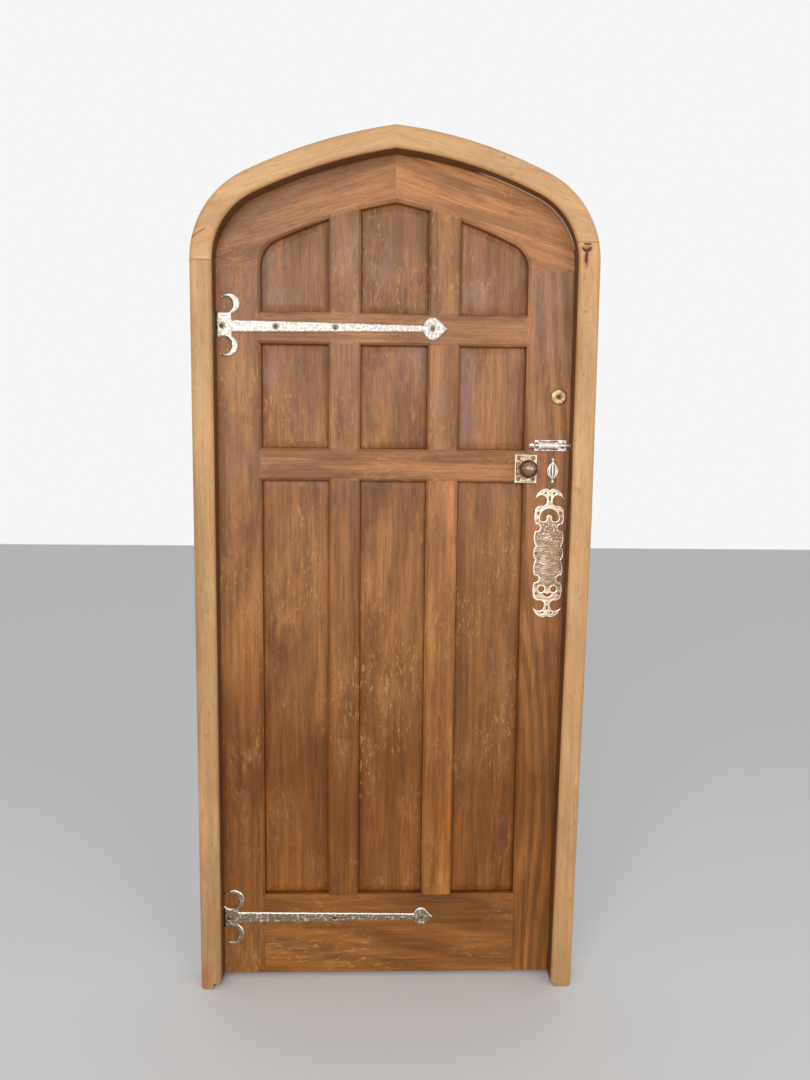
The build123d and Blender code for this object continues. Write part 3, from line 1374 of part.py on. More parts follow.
def slide_bar():
    """The slide bolt's round bar, drawn back, with a turned knob on its end."""
    tip = stop_face_x(SLIDE_BOLT_HEIGHT) - SLIDE_TIP_TO_STOP
    knob_end = slide_plate_left() + COLLAR_START - SLIDE_THROW - SLIDE_KNOB_GAP
    knob_start = knob_end - SLIDE_KNOB_LENGTH
    bar = slide_bar_rod(SLIDE_BAR_RADIUS, knob_end, tip)
    bar = chamfer(bar.faces().sort_by(Axis.X)[-1].edges(), 1.2)
    profile = [
        Line((0, 0), (SLIDE_KNOB_RADIUS * 0.6, 0)),
        ThreePointArc(
            (SLIDE_KNOB_RADIUS * 0.6, 0),
            (SLIDE_KNOB_RADIUS, SLIDE_KNOB_LENGTH * 0.45),
            (SLIDE_BAR_RADIUS, SLIDE_KNOB_LENGTH),
        ),
        Line((SLIDE_BAR_RADIUS, SLIDE_KNOB_LENGTH), (0, SLIDE_KNOB_LENGTH)),
        Line((0, SLIDE_KNOB_LENGTH), (0, 0)),
    ]
    grip = revolve(Plane.XZ * make_face(profile), axis=Axis.Z)
    origin = (knob_start, slide_bar_y(), SLIDE_BOLT_HEIGHT)
    return bar + Plane(origin=origin, z_dir=(1, 0, 0)) * grip


def slide_bolt_hole():
    """The square mortice in the jamb's stop that the slide bolt shoots into."""
    face = stop_face_x(SLIDE_BOLT_HEIGHT)
    depth = SLIDE_THROW - SLIDE_TIP_TO_STOP + 2 * STRIKE_ROOM
    half = SLIDE_BAR_RADIUS + SLIDE_SOCKET_ROOM
    return block(
        face - STRIKE_ROOM, face + depth, slide_bar_y() - half, slide_bar_y() + half,
        SLIDE_BOLT_HEIGHT - half, SLIDE_BOLT_HEIGHT + half,
    )


def on_plate(x, z):
    """A point of the finger plate from its parts of the half width and the half length."""
    return (x * FINGER_PLATE_HALF_WIDTH, z * FINGER_PLATE_HALF_LENGTH)


def plate_outline(start, steps):
    """A closed face through points of the finger plate: two for an arc, one for a straight edge."""
    here = on_plate(*start)
    edges = []
    for points in steps:
        points = [on_plate(*point) for point in points]
        edges.append(ThreePointArc(here, *points) if len(points) > 1 else Line(here, *points))
        here = points[-1]
    return make_face(edges)


def finger_plate_quarter():
    """One quarter of the finger plate's outline: horned crown, neck, shoulder, notch and waist."""
    steps = [
        [(0.13, 0.997), (0.34, 0.997)],
        [(0.71, 0.956), (0.91, 0.871)],
        [(1.0, 0.824)],
        [(0.79, 0.858), (0.53, 0.861)],
        [(0.34, 0.827), (0.26, 0.773)],
        [(0.25, 0.739)],
        [(0.35, 0.705), (0.56, 0.698)],
        [(0.84, 0.671), (0.91, 0.610)],
        [(0.91, 0.447)],
        [(0.79, 0.447)],
        [(0.62, 0.397), (0.79, 0.346)],
        [(0.91, 0.346)],
        [(0.99, 0.224), (0.84, 0.105)],
        [(0.975, 0.064), (1.0, 0.0)],
        [(0.0, 0.0)],
        [(0.0, 0.973)],
    ]
    return plate_outline((0.0, 0.973), steps)


def finger_plate_piercings():
    """The plate's cut-outs: eyes and slots in the crowns, an arch above and a pair below."""
    slot_x, slot_low = on_plate(0.065, 0.813)
    slot_high = on_plate(0, 0.881)[1]
    face = rectangle(-slot_x, slot_x, slot_low, slot_high)
    face = face + rectangle(-slot_x, slot_x, -slot_high, -slot_low)
    eye = on_plate(0.088, 0.015)
    for sx in (-1, 1):
        for sz in (-1, 1):
            face = face + Pos(*on_plate(sx * 0.288, sz * 0.929)) * Ellipse(*eye)
        face = face + Pos(*on_plate(sx * 0.41, -0.556)) * Circle(on_plate(0.2, 0)[0])
    arch = [
        [(0.0, 0.668), (0.63, 0.515)],
        [(0.4, 0.481), (0.18, 0.515)],
        [(0.0, 0.57), (-0.18, 0.515)],
        [(-0.4, 0.481), (-0.63, 0.515)],
    ]
    heart = [
        [(-0.16, -0.62), (0.0, -0.637)],
        [(0.16, -0.62), (0.32, -0.631)],
        [(0.18, -0.664), (0.0, -0.678)],
        [(-0.18, -0.664), (-0.32, -0.631)],
    ]
    return face + plate_outline((-0.63, 0.515), arch) + plate_outline((-0.32, -0.631), heart)


def finger_plate():
    """The pierced plate that keeps fingers off the wood."""
    quarter = finger_plate_quarter()
    right = quarter + mirror(quarter, about=Plane.XZ)
    whole = right + mirror(right, about=Plane.YZ) - finger_plate_piercings()
    placed = Pos(FINGER_PLATE_X, FINGER_PLATE_HEIGHT) * whole
    plate = front_prism(placed, LEAF_FRONT - FINGER_PLATE_THICKNESS, LEAF_FRONT)
    return cut_screws(plate, finger_plate_screws())


def finger_plate_screws():
    """Six small screws round the finger plate."""
    y = LEAF_FRONT - FINGER_PLATE_THICKNESS
    found = []
    for sx in (-1, 1):
        for part_x, part_z in ((0.74, 0.624), (0.83, 0.0), (0.74, -0.624)):
            dx, dz = on_plate(sx * part_x, part_z)
            x, z = FINGER_PLATE_X + dx, FINGER_PLATE_HEIGHT + dz
            found.append(screw(x, y, z, (0, -1, 0), PIN_SCREW))
    return found


def spindle_way():
    """The hole through the stile for the knobs' spindle."""
    return rod(KNOB_X, -LEAF_THICKNESS, LOCK_HEIGHT, SPINDLE_HOLE_RADIUS, 2 * LEAF_THICKNESS, (0, 1, 0))


def cut_ironmongery(piece):
    """Take the lock, its holes and every screw from the lock stile or the rail beside it."""
    piece = piece - lock_case_blank() - spindle_way()
    piece = piece - keyhole(-LEAF_THICKNESS, LEAF_THICKNESS)
    piece = piece - cylinder_rod(CYLINDER_RADIUS, -LEAF_THICKNESS, LEAF_THICKNESS)
    screws = knob_plate_screws() + [turned_to_back(one) for one in knob_plate_screws()]
    screws += forend_screws() + slide_bolt_screws() + finger_plate_screws()
    return cut_screws(piece, screws)


def cut_hinge_side(piece):
    """Take the butt plates and every hinge screw from a piece of the leaf."""
    spots = [(UPPER_HINGE_HEIGHT, UPPER_STRAP_REACH), (LOWER_HINGE_HEIGHT, LOWER_STRAP_REACH)]
    for height, reach in spots:
        piece = piece - butt_plate(1, height)
        piece = cut_screws(piece, butt_screws(1, height) + strap_screws(height, reach))
    return piece


def compound(parts):
    """Several separate solids kept together, such as a set of screws."""
    return Compound(children=[part.solid() for part in parts])


OPENING_CUTTERS = []
PANELS = {}
for name, outline, side in panel_outlines():
    cutter = opening_cutter(outline)
    panel = fielded_panel(outline)
    OPENING_CUTTERS.append(cutter if side >= 0 else flipped(cutter))
    PANELS[name + "_panel"] = panel if side >= 0 else flipped(panel)

NODES = {
    "hinge_jamb": hinge_jamb(),
    "lock_jamb": lock_jamb(),
    "frame_head_left": frame_head_piece(-1),
    "frame_head_right": frame_head_piece(1),
    "frame_dowels": compound(
        jamb_dowels(-1, HINGE_SIDE_JOINT) + jamb_dowels(1, LOCK_SIDE_JOINT) + frame_apex_dowels()
    ),
    "hinge_stile": cut_hinge_side(stile(-1)),
    "lock_stile": cut_ironmongery(stile(1)),
    "head_rail_left": head_rail(-1),
    "head_rail_right": head_rail(1),
    "head_dowels": compound(stile_dowels(-1) + stile_dowels(1) + leaf_apex_dowels()),
    "upper_rail": cut_hinge_side(cross_rail(UPPER_RAIL_FOOT, TOP_PANEL_FOOT)),
    "lock_rail": cut_ironmongery(cross_rail(LOCK_RAIL_FOOT, MIDDLE_PANEL_FOOT)),
    "bottom_rail": cut_hinge_side(cross_rail(LEAF_FOOT, LOWER_PANEL_FOOT)),
    "knob_plate": knob_plate(),
    "rear_knob_plate": turned_to_back(knob_plate()),
    "front_knob": knob(),
    "rear_knob": turned_to_back(knob()),
    "spindle": spindle(),
    "lock_case": lock_case(),
    "latch_bolt": latch_bolt(),
    "dead_bolt": dead_bolt(),
    "strike_plate": strike_plate(),
    "keyhole_plate": escutcheon(),
    "rear_keyhole_plate": rear_escutcheon(),
    "keyhole_cover": keyhole_cover(),
    "latch_cylinder": latch_cylinder(),
    "cylinder_plug": cylinder_plug(),
    "night_latch_case": night_latch_case(),
    "night_latch_knob": night_latch_knob(),
    "night_latch_bolt": night_latch_bolt(),
    "night_latch_keep": night_keep(),
    "slide_bolt_body": slide_bolt_body(),
    "slide_bolt_bar": slide_bar(),
    "finger_plate": finger_plate(),
}
NODES.update(PANELS)

for row, foot, head in muntin_spans():
    NODES[row + "_muntin_left"] = muntin(-1, foot, head)
    NODES[row + "_muntin_right"] = muntin(1, foot, head)

hinge_sets = [
    ("upper", UPPER_HINGE_HEIGHT, UPPER_STRAP_REACH, UPPER_CRESCENTS, UPPER_TIP),
    ("lower", LOWER_HINGE_HEIGHT, LOWER_STRAP_REACH, LOWER_CRESCENTS, LOWER_TIP),
]
for level, height, reach, crescents, tip in hinge_sets:
    NODES[level + "_hinge_front"] = hinge_front(height, reach, crescents, tip)
    NODES[level + "_hinge_jamb_half"] = butt_leaf(-1, height)
    NODES[level + "_hinge_leaf_half"] = butt_leaf(1, height)

NODES["hinge_front_screws"] = compound(
    strap_screws(UPPER_HINGE_HEIGHT, UPPER_STRAP_REACH)
    + strap_screws(LOWER_HINGE_HEIGHT, LOWER_STRAP_REACH)
)
NODES["hinge_pins"] = compound([hinge_pin(UPPER_HINGE_HEIGHT), hinge_pin(LOWER_HINGE_HEIGHT)])
NODES["jamb_screws"] = compound(
    butt_screws(-1, UPPER_HINGE_HEIGHT)
    + butt_screws(-1, LOWER_HINGE_HEIGHT)
    + strike_screws()
    + keep_screws()
)
NODES["edge_screws"] = compound(
    butt_screws(1, UPPER_HINGE_HEIGHT) + butt_screws(1, LOWER_HINGE_HEIGHT) + forend_screws()
)
NODES["plate_screws"] = compound(
    knob_plate_screws()
    + [turned_to_back(one) for one in knob_plate_screws()]
    + slide_bolt_screws()
    + finger_plate_screws()
)

os.makedirs("parts", exist_ok=True)
for name, shape in NODES.items():
    export_step(shape, "parts/" + name + ".step")
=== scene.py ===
# %% [markdown]
# An arched oak door stands in its frame. Its solids come from the CAD model, in metres.
# This file gives them their looks: oak, steel, nickel, bronze and brass, and the forged irons.
# The CAD model is loaded first, because everything else is placed by it.

# %% Load the CAD model
import json
import math

import bmesh
import bpy
import numpy as np
from mathutils import Matrix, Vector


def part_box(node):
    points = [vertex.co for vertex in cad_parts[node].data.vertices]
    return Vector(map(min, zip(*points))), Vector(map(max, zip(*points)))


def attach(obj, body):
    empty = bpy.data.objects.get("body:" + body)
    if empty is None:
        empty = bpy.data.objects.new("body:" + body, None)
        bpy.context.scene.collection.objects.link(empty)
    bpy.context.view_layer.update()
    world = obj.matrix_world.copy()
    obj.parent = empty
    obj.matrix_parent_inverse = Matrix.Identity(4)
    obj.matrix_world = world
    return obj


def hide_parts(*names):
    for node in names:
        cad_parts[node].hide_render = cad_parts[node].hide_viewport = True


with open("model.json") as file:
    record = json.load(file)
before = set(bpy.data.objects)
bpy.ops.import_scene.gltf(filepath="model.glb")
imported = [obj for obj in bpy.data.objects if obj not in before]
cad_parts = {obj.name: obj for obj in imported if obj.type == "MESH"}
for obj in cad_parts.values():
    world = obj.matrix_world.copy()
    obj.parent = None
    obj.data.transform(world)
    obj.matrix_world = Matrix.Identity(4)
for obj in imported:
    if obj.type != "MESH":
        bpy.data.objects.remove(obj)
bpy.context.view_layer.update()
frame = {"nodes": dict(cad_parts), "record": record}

MM = 0.001


# %% [markdown]
# Colours are easiest to pick as screen values from 0 to 255, but a shader wants linear light.
# The two are joined by a power curve with a short straight foot.

# %% Colour helper
def tone(red, green, blue):
    """Screen values to linear light. Each part c is divided by 255. Up to 0.04045 it is then
    divided by 12.92, and above that it becomes ((c + 0.055) / 1.055) to the power 2.4."""
    screen = np.array([red, green, blue]) / 255.0
    linear = np.where(screen <= 0.04045, screen / 12.92, ((screen + 0.055) / 1.055) ** 2.4)
    return (*linear.tolist(), 1.0)


print("middle grey in linear light", round(tone(128, 128, 128)[0], 3))


# %% [markdown]
# A material is a chain of nodes. A few short helpers make the chain read like a sentence:
# each one adds a node, sets or links its inputs, and hands back the socket that comes out.

# %% Node helpers
def node(tree, kind, inputs=(), **settings):
    """A new node: settings are its own properties, inputs its values or the sockets that feed it."""
    made = tree.nodes.new("ShaderNode" + kind)
    for name, value in settings.items():
        setattr(made, name, value)
    for key, value in dict(inputs).items():
        if isinstance(value, bpy.types.NodeSocket):
            tree.links.new(value, made.inputs[key])
        else:
            made.inputs[key].default_value = value
    return made


def noise(tree, vector, scale, detail, roughness, distortion=0.0):
    """Cloudy noise from 0 to 1. The scale is in cells per metre of the vector."""
    inputs = {"Vector": vector, "Scale": scale, "Detail": detail, "Roughness": roughness,
              "Distortion": distortion}
    return node(tree, "TexNoise", inputs).outputs[0]


def spread(tree, value, low, high, to_low=0.0, to_high=1.0):
    """Value carried smoothly from one range to another, and held at its ends."""
    inputs = {0: value, 1: low, 2: high, 3: to_low, 4: to_high}
    return node(tree, "MapRange", inputs, interpolation_type="SMOOTHSTEP").outputs[0]


def maths(tree, operation, first, second=0.0):
    """One step of arithmetic on two values."""
    return node(tree, "Math", {0: first, 1: second}, operation=operation).outputs[0]


def both(tree, first, second):
    """The product of two masks: one only where both are one."""
    return maths(tree, "MULTIPLY", first, second)


def placed(tree, vector, scale=(1, 1, 1), turn=(0, 0, 0), shift=(0, 0, 0)):
    """A vector scaled, then turned, then shifted."""
    inputs = {"Vector": vector, "Scale": scale, "Rotation": turn, "Location": shift}
    return node(tree, "Mapping", inputs).outputs[0]


# %% [markdown]
# Colours have helpers of their own. Most of them lay one shade over another where a mask says.
# The last one darkens corners with painted shade and dirt: ambient occlusion is one in the open
# and falls towards nothing where surfaces close in, which is where shade falls and dirt stays.

# %% Colours on a surface
def mixed(tree, factor, first, second, mode="MIX"):
    """Two colours mixed by a factor."""
    inputs = {0: factor, 6: first, 7: second}
    return node(tree, "Mix", inputs, data_type="RGBA", blend_type=mode).outputs[2]


def graded(tree, factor, stops):
    """A colour that changes through the stops, each a place from 0 to 1 and a colour."""
    ramp = node(tree, "ValToRGB", {0: factor})
    elements = ramp.color_ramp.elements
    elements[0].position, elements[0].color = stops[0]
    elements[1].position, elements[1].color = stops[-1]
    for place, colour in stops[1:-1]:
        elements.new(place).color = colour
    return ramp.outputs[0]


def painted(tree, colour, mask, shade, amount):
    """A shade laid over the colour where the mask says, by an amount."""
    return mixed(tree, both(tree, mask, amount), colour, shade)


def times(tree, colour, value, dimmest, brightest, low=0.3, high=0.7):
    """Colour multiplied by a factor that follows the value from dimmest to brightest. Noise
    seldom leaves the range from 0.3 to 0.7."""
    return mixed(tree, 1.0, colour, spread(tree, value, low, high, dimmest, brightest), "MULTIPLY")


def corner_shade_and_dirt(tree, colour, shade, amount, reach, closed=0.40, clear=0.80):
    """A darker colour laid on in corners, as painted shade and dirt. Occlusion within the reach, in
    metres, is read: up to closed the colour has its full amount, and from clear on there is none."""
    openness = node(tree, "AmbientOcclusion", {"Distance": reach}, samples=6).outputs["AO"]
    return mixed(tree, spread(tree, openness, closed, clear, amount, 0.0), colour, shade)


# %% [markdown]
# Every chain ends in one shader, which serves wood and metal alike, and an output. What changes
# over the surface is linked to the shader. What is the same all over is set on its own sockets,
# so that it is plain to read, and other programs can read it too.

# %% Finish helpers
def new_finish(name):
    """An empty material with a shader and an output, and its tree."""
    finish = bpy.data.materials.new(name)
    finish.use_nodes = True
    tree = finish.node_tree
    tree.nodes.clear()
    shader = node(tree, "BsdfPrincipled")
    output = node(tree, "OutputMaterial")
    tree.links.new(shader.outputs[0], output.inputs[0])
    return finish, tree, shader


def feed(tree, shader, **sockets):
    """Link sockets to the shader's inputs by name, with _ for a space."""
    for name, value in sockets.items():
        tree.links.new(value, shader.inputs[name.replace("_", " ")])


def fixed(shader, **values):
    """Set the shader's own values by name, with _ for a space."""
    for name, value in values.items():
        shader.inputs[name.replace("_", " ")].default_value = value


def relief(tree, height, depth):
    """A normal tilted by a height field, with the depth in metres."""
    return node(tree, "Bump", {"Height": height, "Distance": depth, "Strength": 1.0}).outputs[0]


# %% [markdown]
# Oak has four things that the eye reads at once: long soft streaks along the grain, the arched
# figure that the saw cuts out of the growth rings, short dark pores, and small bright ray flecks.
# Each of them is a noise, drawn out along the grain. The noises are kept in one table, so that
# their sizes can be compared and changed in one place.

# %% Grain of a board
# Cells per metre, detail, roughness, and the share of the scale that is left along the grain.
LAYERS = {
    "swell": (3.1, 2, 0.40, 0.17), "cloud": (5.0, 4, 0.60, 0.60), "painted_sheen": (7.0, 5, 0.62, 0.50),
    "patch": (6.0, 3, 0.50, 0.60), "smear": (13, 6, 0.70, 0.32), "blot": (34, 6, 0.72, 0.22),
    "streak": (80, 5, 0.64, 0.045), "ray": (150, 3, 0.60, 0.30), "fibre": (230, 5, 0.70, 0.035),
    "pore": (900, 2, 0.50, 0.05),
}
# The two values of a noise between which its mask fades in.
FADES = {
    "painted_sheen": (0.50, 0.68), "patch": (0.44, 0.62), "smear": (0.50, 0.72), "blot": (0.42, 0.70),
    "ray": (0.57, 0.64), "pore": (0.55, 0.72),
}
# Metres of noise from one board's patch to the next, and radians per metre across a board.
PATCH_STEP = (0.37, 0.61, 0.83)
RING_SLOPE = 45.0


def grain_of(tree, place, lean, number):
    """The board's own coordinates, with its grain along z: turned by its lean, then shifted by
    its number times a step, to its own patch of noise."""
    turn = (0, math.radians(lean - 90.0), 0)
    return placed(tree, place, turn=turn, shift=tuple(step * number for step in PATCH_STEP))


def layer(tree, board, name, distortion=0.0):
    """One noise of the table, laid on a board's own coordinates."""
    scale, detail, roughness, along = LAYERS[name]
    drawn_out = placed(tree, board, scale=(1, 1, along))
    return noise(tree, drawn_out, scale, detail, roughness, distortion)


def mask(tree, board, name, distortion=0.0):
    """One noise of the table as a mask: nothing below its first value, one above its second."""
    return spread(tree, layer(tree, board, name, distortion), *FADES[name])


def growth_rings(tree, board, count):
    """Arched figure: the sine of a slow noise times a count of rings, plus a slope across."""
    across = node(tree, "SeparateXYZ", {0: board}).outputs[0]
    swell = maths(tree, "MULTIPLY", layer(tree, board, "swell"), count * math.tau)
    phase = maths(tree, "ADD", swell, maths(tree, "MULTIPLY", across, RING_SLOPE))
    return spread(tree, maths(tree, "SINE", phase), -0.9, 0.9)


print("noises of the oak", len(LAYERS), "of them masks", len(FADES))


# %% [markdown]
# Over the grain lies what years have done: brown stain that has pooled in places and gone in
# others. Every board gets the same recipe, turned to its own grain and shifted to its own patch
# of noise, so that no two boards are alike. The colour also follows the height: it is lighter
# towards the top and browner towards the bottom, and high up a pale painted sheen lies over it.

# %% Oak recipe
# In metres: the height that the colours cover, how far clouds shift it, where the painted sheen
# comes in, and how deep the grain is.
COLOUR_REACH, CLOUD_WANDER = 2.0, 0.5
PAINTED_SHEEN_HEIGHTS = (1.0, 1.5)
GRAIN_DEPTH = 0.00018
RAY_DISTORTION = 0.9
PORE_DARKNESS = 0.35
FIBRE_SHARE = 0.6
GLOSS_FADE, GLOSS_RANGE = (0.3, 0.75), 0.18
OAK_SHEEN = {"Specular_IOR_Level": 0.26, "Coat_Weight": 0.05, "Coat_Roughness": 0.35}


def bare_wood(tree, board, height, streak, fibre, look):
    """The colour of each height, whose borders wander with the clouds, times the streaks, the
    fibres, the arched figure and the clouds."""
    cloud = layer(tree, board, "cloud")
    wander = maths(tree, "MULTIPLY", maths(tree, "SUBTRACT", cloud, 0.5), CLOUD_WANDER)
    level = maths(tree, "DIVIDE", maths(tree, "ADD", height, wander), COLOUR_REACH)
    colour = graded(tree, level, [(z / COLOUR_REACH, shade) for z, shade in look["heights"]])
    grain, figure, clouds = look["grain"], look["figure"], look["clouds"]
    rings = growth_rings(tree, board, look["rings"])
    colour = times(tree, colour, streak, 1 - grain, 1 + 0.8 * grain)
    colour = times(tree, colour, fibre, 1 - 1.3 * grain, 1 + grain)
    colour = times(tree, colour, rings, 1 - figure, 1 + 0.6 * figure, 0.0, 1.0)
    return times(tree, colour, cloud, 1 - clouds, 1 + clouds)


def aged_wood(tree, colour, board, height, look):
    """A pale painted sheen that thickens with the height, and three marks of age: rubbed blots and
    bright rays that share their patches, and dark smears. Each is a mask with its colour and amount."""
    painted_sheen = both(tree, mask(tree, board, "painted_sheen"), spread(tree, height, *PAINTED_SHEEN_HEIGHTS))
    patch = mask(tree, board, "patch")
    rays = both(tree, mask(tree, board, "ray", RAY_DISTORTION), patch)
    # Painted sheen, a pale reflection of the light, laid on high up.
    colour = painted(tree, colour, painted_sheen, *look["painted_sheen"])
    colour = painted(tree, colour, both(tree, mask(tree, board, "blot"), patch), *look["wear"])
    colour = painted(tree, colour, rays, *look["rays"])
    return painted(tree, colour, mask(tree, board, "smear"), *look["smear"])


def oak(name, lean, number, look):
    """Oak board. lean is the grain's angle above level in degrees, number picks the patch of
    noise, and look is a table of its colours and of how strongly each thing shows."""
    finish, tree, shader = new_finish(name)
    place = node(tree, "TexCoord").outputs["Object"]
    height = node(tree, "SeparateXYZ", {0: place}).outputs[2]
    board = grain_of(tree, place, lean, number)
    streak, fibre = layer(tree, board, "streak"), layer(tree, board, "fibre")
    pores = mask(tree, board, "pore")
    colour = bare_wood(tree, board, height, streak, fibre, look)
    colour = aged_wood(tree, colour, board, height, look)
    colour = painted(tree, colour, pores, look["pore"], PORE_DARKNESS)
    # Painted shade and dirt in corners, from ambient occlusion.
    colour = corner_shade_and_dirt(tree, colour, *look["corner"])
    if "marks" in look:
        colour = look["marks"](tree, place, colour)
    surface = maths(tree, "SUBTRACT", maths(tree, "MULTIPLY", fibre, FIBRE_SHARE), pores)
    rough = spread(tree, streak, *GLOSS_FADE, look["gloss"], look["gloss"] + GLOSS_RANGE)
    feed(tree, shader, Base_Color=colour, Roughness=rough, Normal=relief(tree, surface, GRAIN_DEPTH))
    fixed(shader, **OAK_SHEEN)
    return finish


# %% [markdown]
# The frame is paler oak whose face was scraped clean, and its inner sides, which look into the
# opening, are painted dark brown behind the face. That side is told from the face by two things:
# it lies behind the face, and its normal points towards the middle of the opening. On it a pale
# strip of painted light shows where light comes through the gap beside the leaf's head, and
# painted shade lies behind the leaf's face. Seams between boards hold dirt, so a thin dark line is
# painted at each joint's height. One rusty nail has bled into the wood by the right-hand joint,
# and above the left-hand one a short crack runs in from the outer edge.

# %% Masks for single marks
FACE_LEVEL = -67 * MM
# The middle of the opening along the first and the third axis, x and z.
OPENING_CENTRE = {0: 0.0, 2: 1.2}
LINE_CORE, SPOT_CORE = 0.4, 0.15


def near_line(tree, value, place, half_width):
    """One on a line where the value equals the place, fading to nothing at the half width."""
    gap = maths(tree, "ABSOLUTE", maths(tree, "SUBTRACT", value, place))
    return spread(tree, gap, half_width * LINE_CORE, half_width, 1.0, 0.0)


def near_point(tree, parts, x, z, radius, stretch):
    """One at a point of the face, fading to nothing at the radius, which is stretched along x and
    z. The distance is the root of the sum of the squares."""
    dx = maths(tree, "DIVIDE", maths(tree, "SUBTRACT", parts[0], x), stretch[0])
    dz = maths(tree, "DIVIDE", maths(tree, "SUBTRACT", parts[2], z), stretch[1])
    squares = maths(tree, "ADD", maths(tree, "MULTIPLY", dx, dx), maths(tree, "MULTIPLY", dz, dz))
    return spread(tree, maths(tree, "SQRT", squares), radius * SPOT_CORE, radius, 1.0, 0.0)


def facing_in(tree, parts):
    """One on a face that looks towards the middle of the opening: the way to the middle times
    the way that the face looks, added up over x and z."""
    normal = node(tree, "TexCoord").outputs["Normal"]
    lean = node(tree, "SeparateXYZ", {0: normal}).outputs
    ways = [maths(tree, "MULTIPLY", maths(tree, "SUBTRACT", middle, parts[axis]), lean[axis])
            for axis, middle in OPENING_CENTRE.items()]
    return spread(tree, maths(tree, "ADD", *ways), 0.05, 0.16)


# %% [markdown]
# Each mark is now a mask, a shade and an amount, laid on one after another. Marks that are drawn
# this way stay where they are on the wood, whatever the light or the view.

# %% Marks on the frame
JOINT_HEIGHTS = (1650 * MM, 1700 * MM)
CRACK_START, CRACK_SLOPE, CRACK_END = (-0.425, 1.700), 0.62, (-0.408, -0.396)
RUST_SPOTS = ((0.410, 1.686, 19 * MM, (0.9, 0.62)), (0.409, 1.664, 18 * MM, (0.50, 1.6)))
FOOT_STAIN = (-0.428, 0.03, 42 * MM, (0.5, 1.4))


def inner_sides_darkened_and_lit(tree, colour, parts):
    """The inner sides: darker brown behind the face, a pale strip of painted light where light shows
    in the gap beside the right of the leaf's head, and painted shade behind the leaf's face."""
    inward = facing_in(tree, parts)
    behind = spread(tree, parts[1], FACE_LEVEL + 5 * MM, FACE_LEVEL + 13 * MM)
    colour = painted(tree, colour, both(tree, inward, behind), tone(92, 56, 28), 0.93)
    # A pale strip of painted light, where light shows through the gap beside the leaf's head.
    strip = both(tree, spread(tree, parts[1], -35 * MM, -32 * MM), inward)
    strip = both(tree, both(tree, strip, spread(tree, parts[0], 0.17, 0.20)),
                 spread(tree, parts[2], 1.685, 1.70))
    colour = painted(tree, colour, strip, tone(222, 208, 184), 0.85)
    # Painted shade behind the leaf's face.
    shade_behind_leaf = spread(tree, parts[1], -24 * MM, -22 * MM)
    return painted(tree, colour, shade_behind_leaf, tone(120, 84, 52), 0.35)


def frame_marks(tree, place, colour):
    """The darkened inner sides with their painted light and shade, the seams, the crack, the nail's
    rust, nicks and a stained foot.
    """
    parts = node(tree, "SeparateXYZ", {0: place}).outputs
    colour = inner_sides_darkened_and_lit(tree, colour, parts)
    left_half = spread(tree, parts[0], -0.02, 0.02, 1.0, 0.0)
    right_half = spread(tree, parts[0], -0.02, 0.02)
    for height, side in zip(JOINT_HEIGHTS, (left_half, right_half)):
        seam = both(tree, near_line(tree, parts[2], height, 1.8 * MM), side)
        colour = painted(tree, colour, seam, tone(120, 74, 38), 0.55)
    climb = maths(tree, "MULTIPLY", maths(tree, "SUBTRACT", parts[0], CRACK_START[0]), CRACK_SLOPE)
    crack = near_line(tree, maths(tree, "SUBTRACT", parts[2], climb), CRACK_START[1], 2.4 * MM)
    crack = both(tree, both(tree, crack, spread(tree, parts[0], *CRACK_END, 1.0, 0.0)), left_half)
    colour = painted(tree, colour, crack, tone(150, 70, 40), 0.7)
    around, below = (near_point(tree, parts, *spot) for spot in RUST_SPOTS)
    grit = noise(tree, placed(tree, place, scale=(1, 1, 0.5)), 260, 4, 0.7)
    grit = spread(tree, grit, 0.34, 0.58, 0.35, 1.0)
    bleed = both(tree, maths(tree, "MAXIMUM", around, below), grit)
    colour = painted(tree, colour, bleed, tone(112, 64, 40), 0.95)
    nicks = spread(tree, noise(tree, place, 55, 2, 0.5), 0.69, 0.74)
    colour = painted(tree, colour, nicks, tone(140, 92, 54), 0.4)
    return painted(tree, colour, near_point(tree, parts, *FOOT_STAIN), tone(168, 92, 66), 0.5)


# %% [markdown]
# Three looks cover all the wood: the pale frame, the stained stiles and rails of the leaf, and
# its panels, whose painted sheen at the top is greyer. A look is a table, so a new one is an old
# one with a few entries changed. Old boards also differ among themselves, and two of this door's
# show a closer arched figure than the rest, so single boards get a lightness or a figure of their own.

# %% Looks of the oak
# The corner entry is the painted shade and dirt in corners: its colour, amount and reach in metres.
PALE_OAK = {
    "heights": [(0.00, tone(184, 140, 92)), (0.35, tone(190, 145, 98)), (0.90, tone(198, 152, 103)),
                (1.50, tone(205, 160, 112)), (1.95, tone(212, 164, 114))],
    "grain": 0.09, "figure": 0.06, "rings": 5.0, "clouds": 0.08,
    "painted_sheen": (tone(226, 186, 146), 0.15), "wear": (tone(230, 188, 142), 0.40),
    "rays": (tone(236, 196, 150), 0.0), "smear": (tone(158, 106, 64), 0.38),
    "pore": tone(150, 104, 66), "corner": (tone(96, 56, 26), 0.8, 0.005), "gloss": 0.46,
    "marks": frame_marks,
}
STAINED_OAK = {
    "heights": [(0.00, tone(146, 91, 37)), (0.45, tone(137, 81, 28)), (0.85, tone(151, 98, 51)),
                (1.20, tone(158, 106, 66)), (1.60, tone(162, 112, 76)), (1.90, tone(177, 119, 70))],
    "grain": 0.19, "figure": 0.19, "rings": 9.0, "clouds": 0.13,
    "painted_sheen": (tone(164, 130, 114), 0.52), "wear": (tone(190, 134, 72), 0.50),
    "rays": (tone(198, 144, 86), 0.60), "smear": (tone(98, 58, 28), 0.55),
    "pore": tone(96, 56, 28), "corner": (tone(58, 30, 11), 0.9, 0.0045), "gloss": 0.36,
}
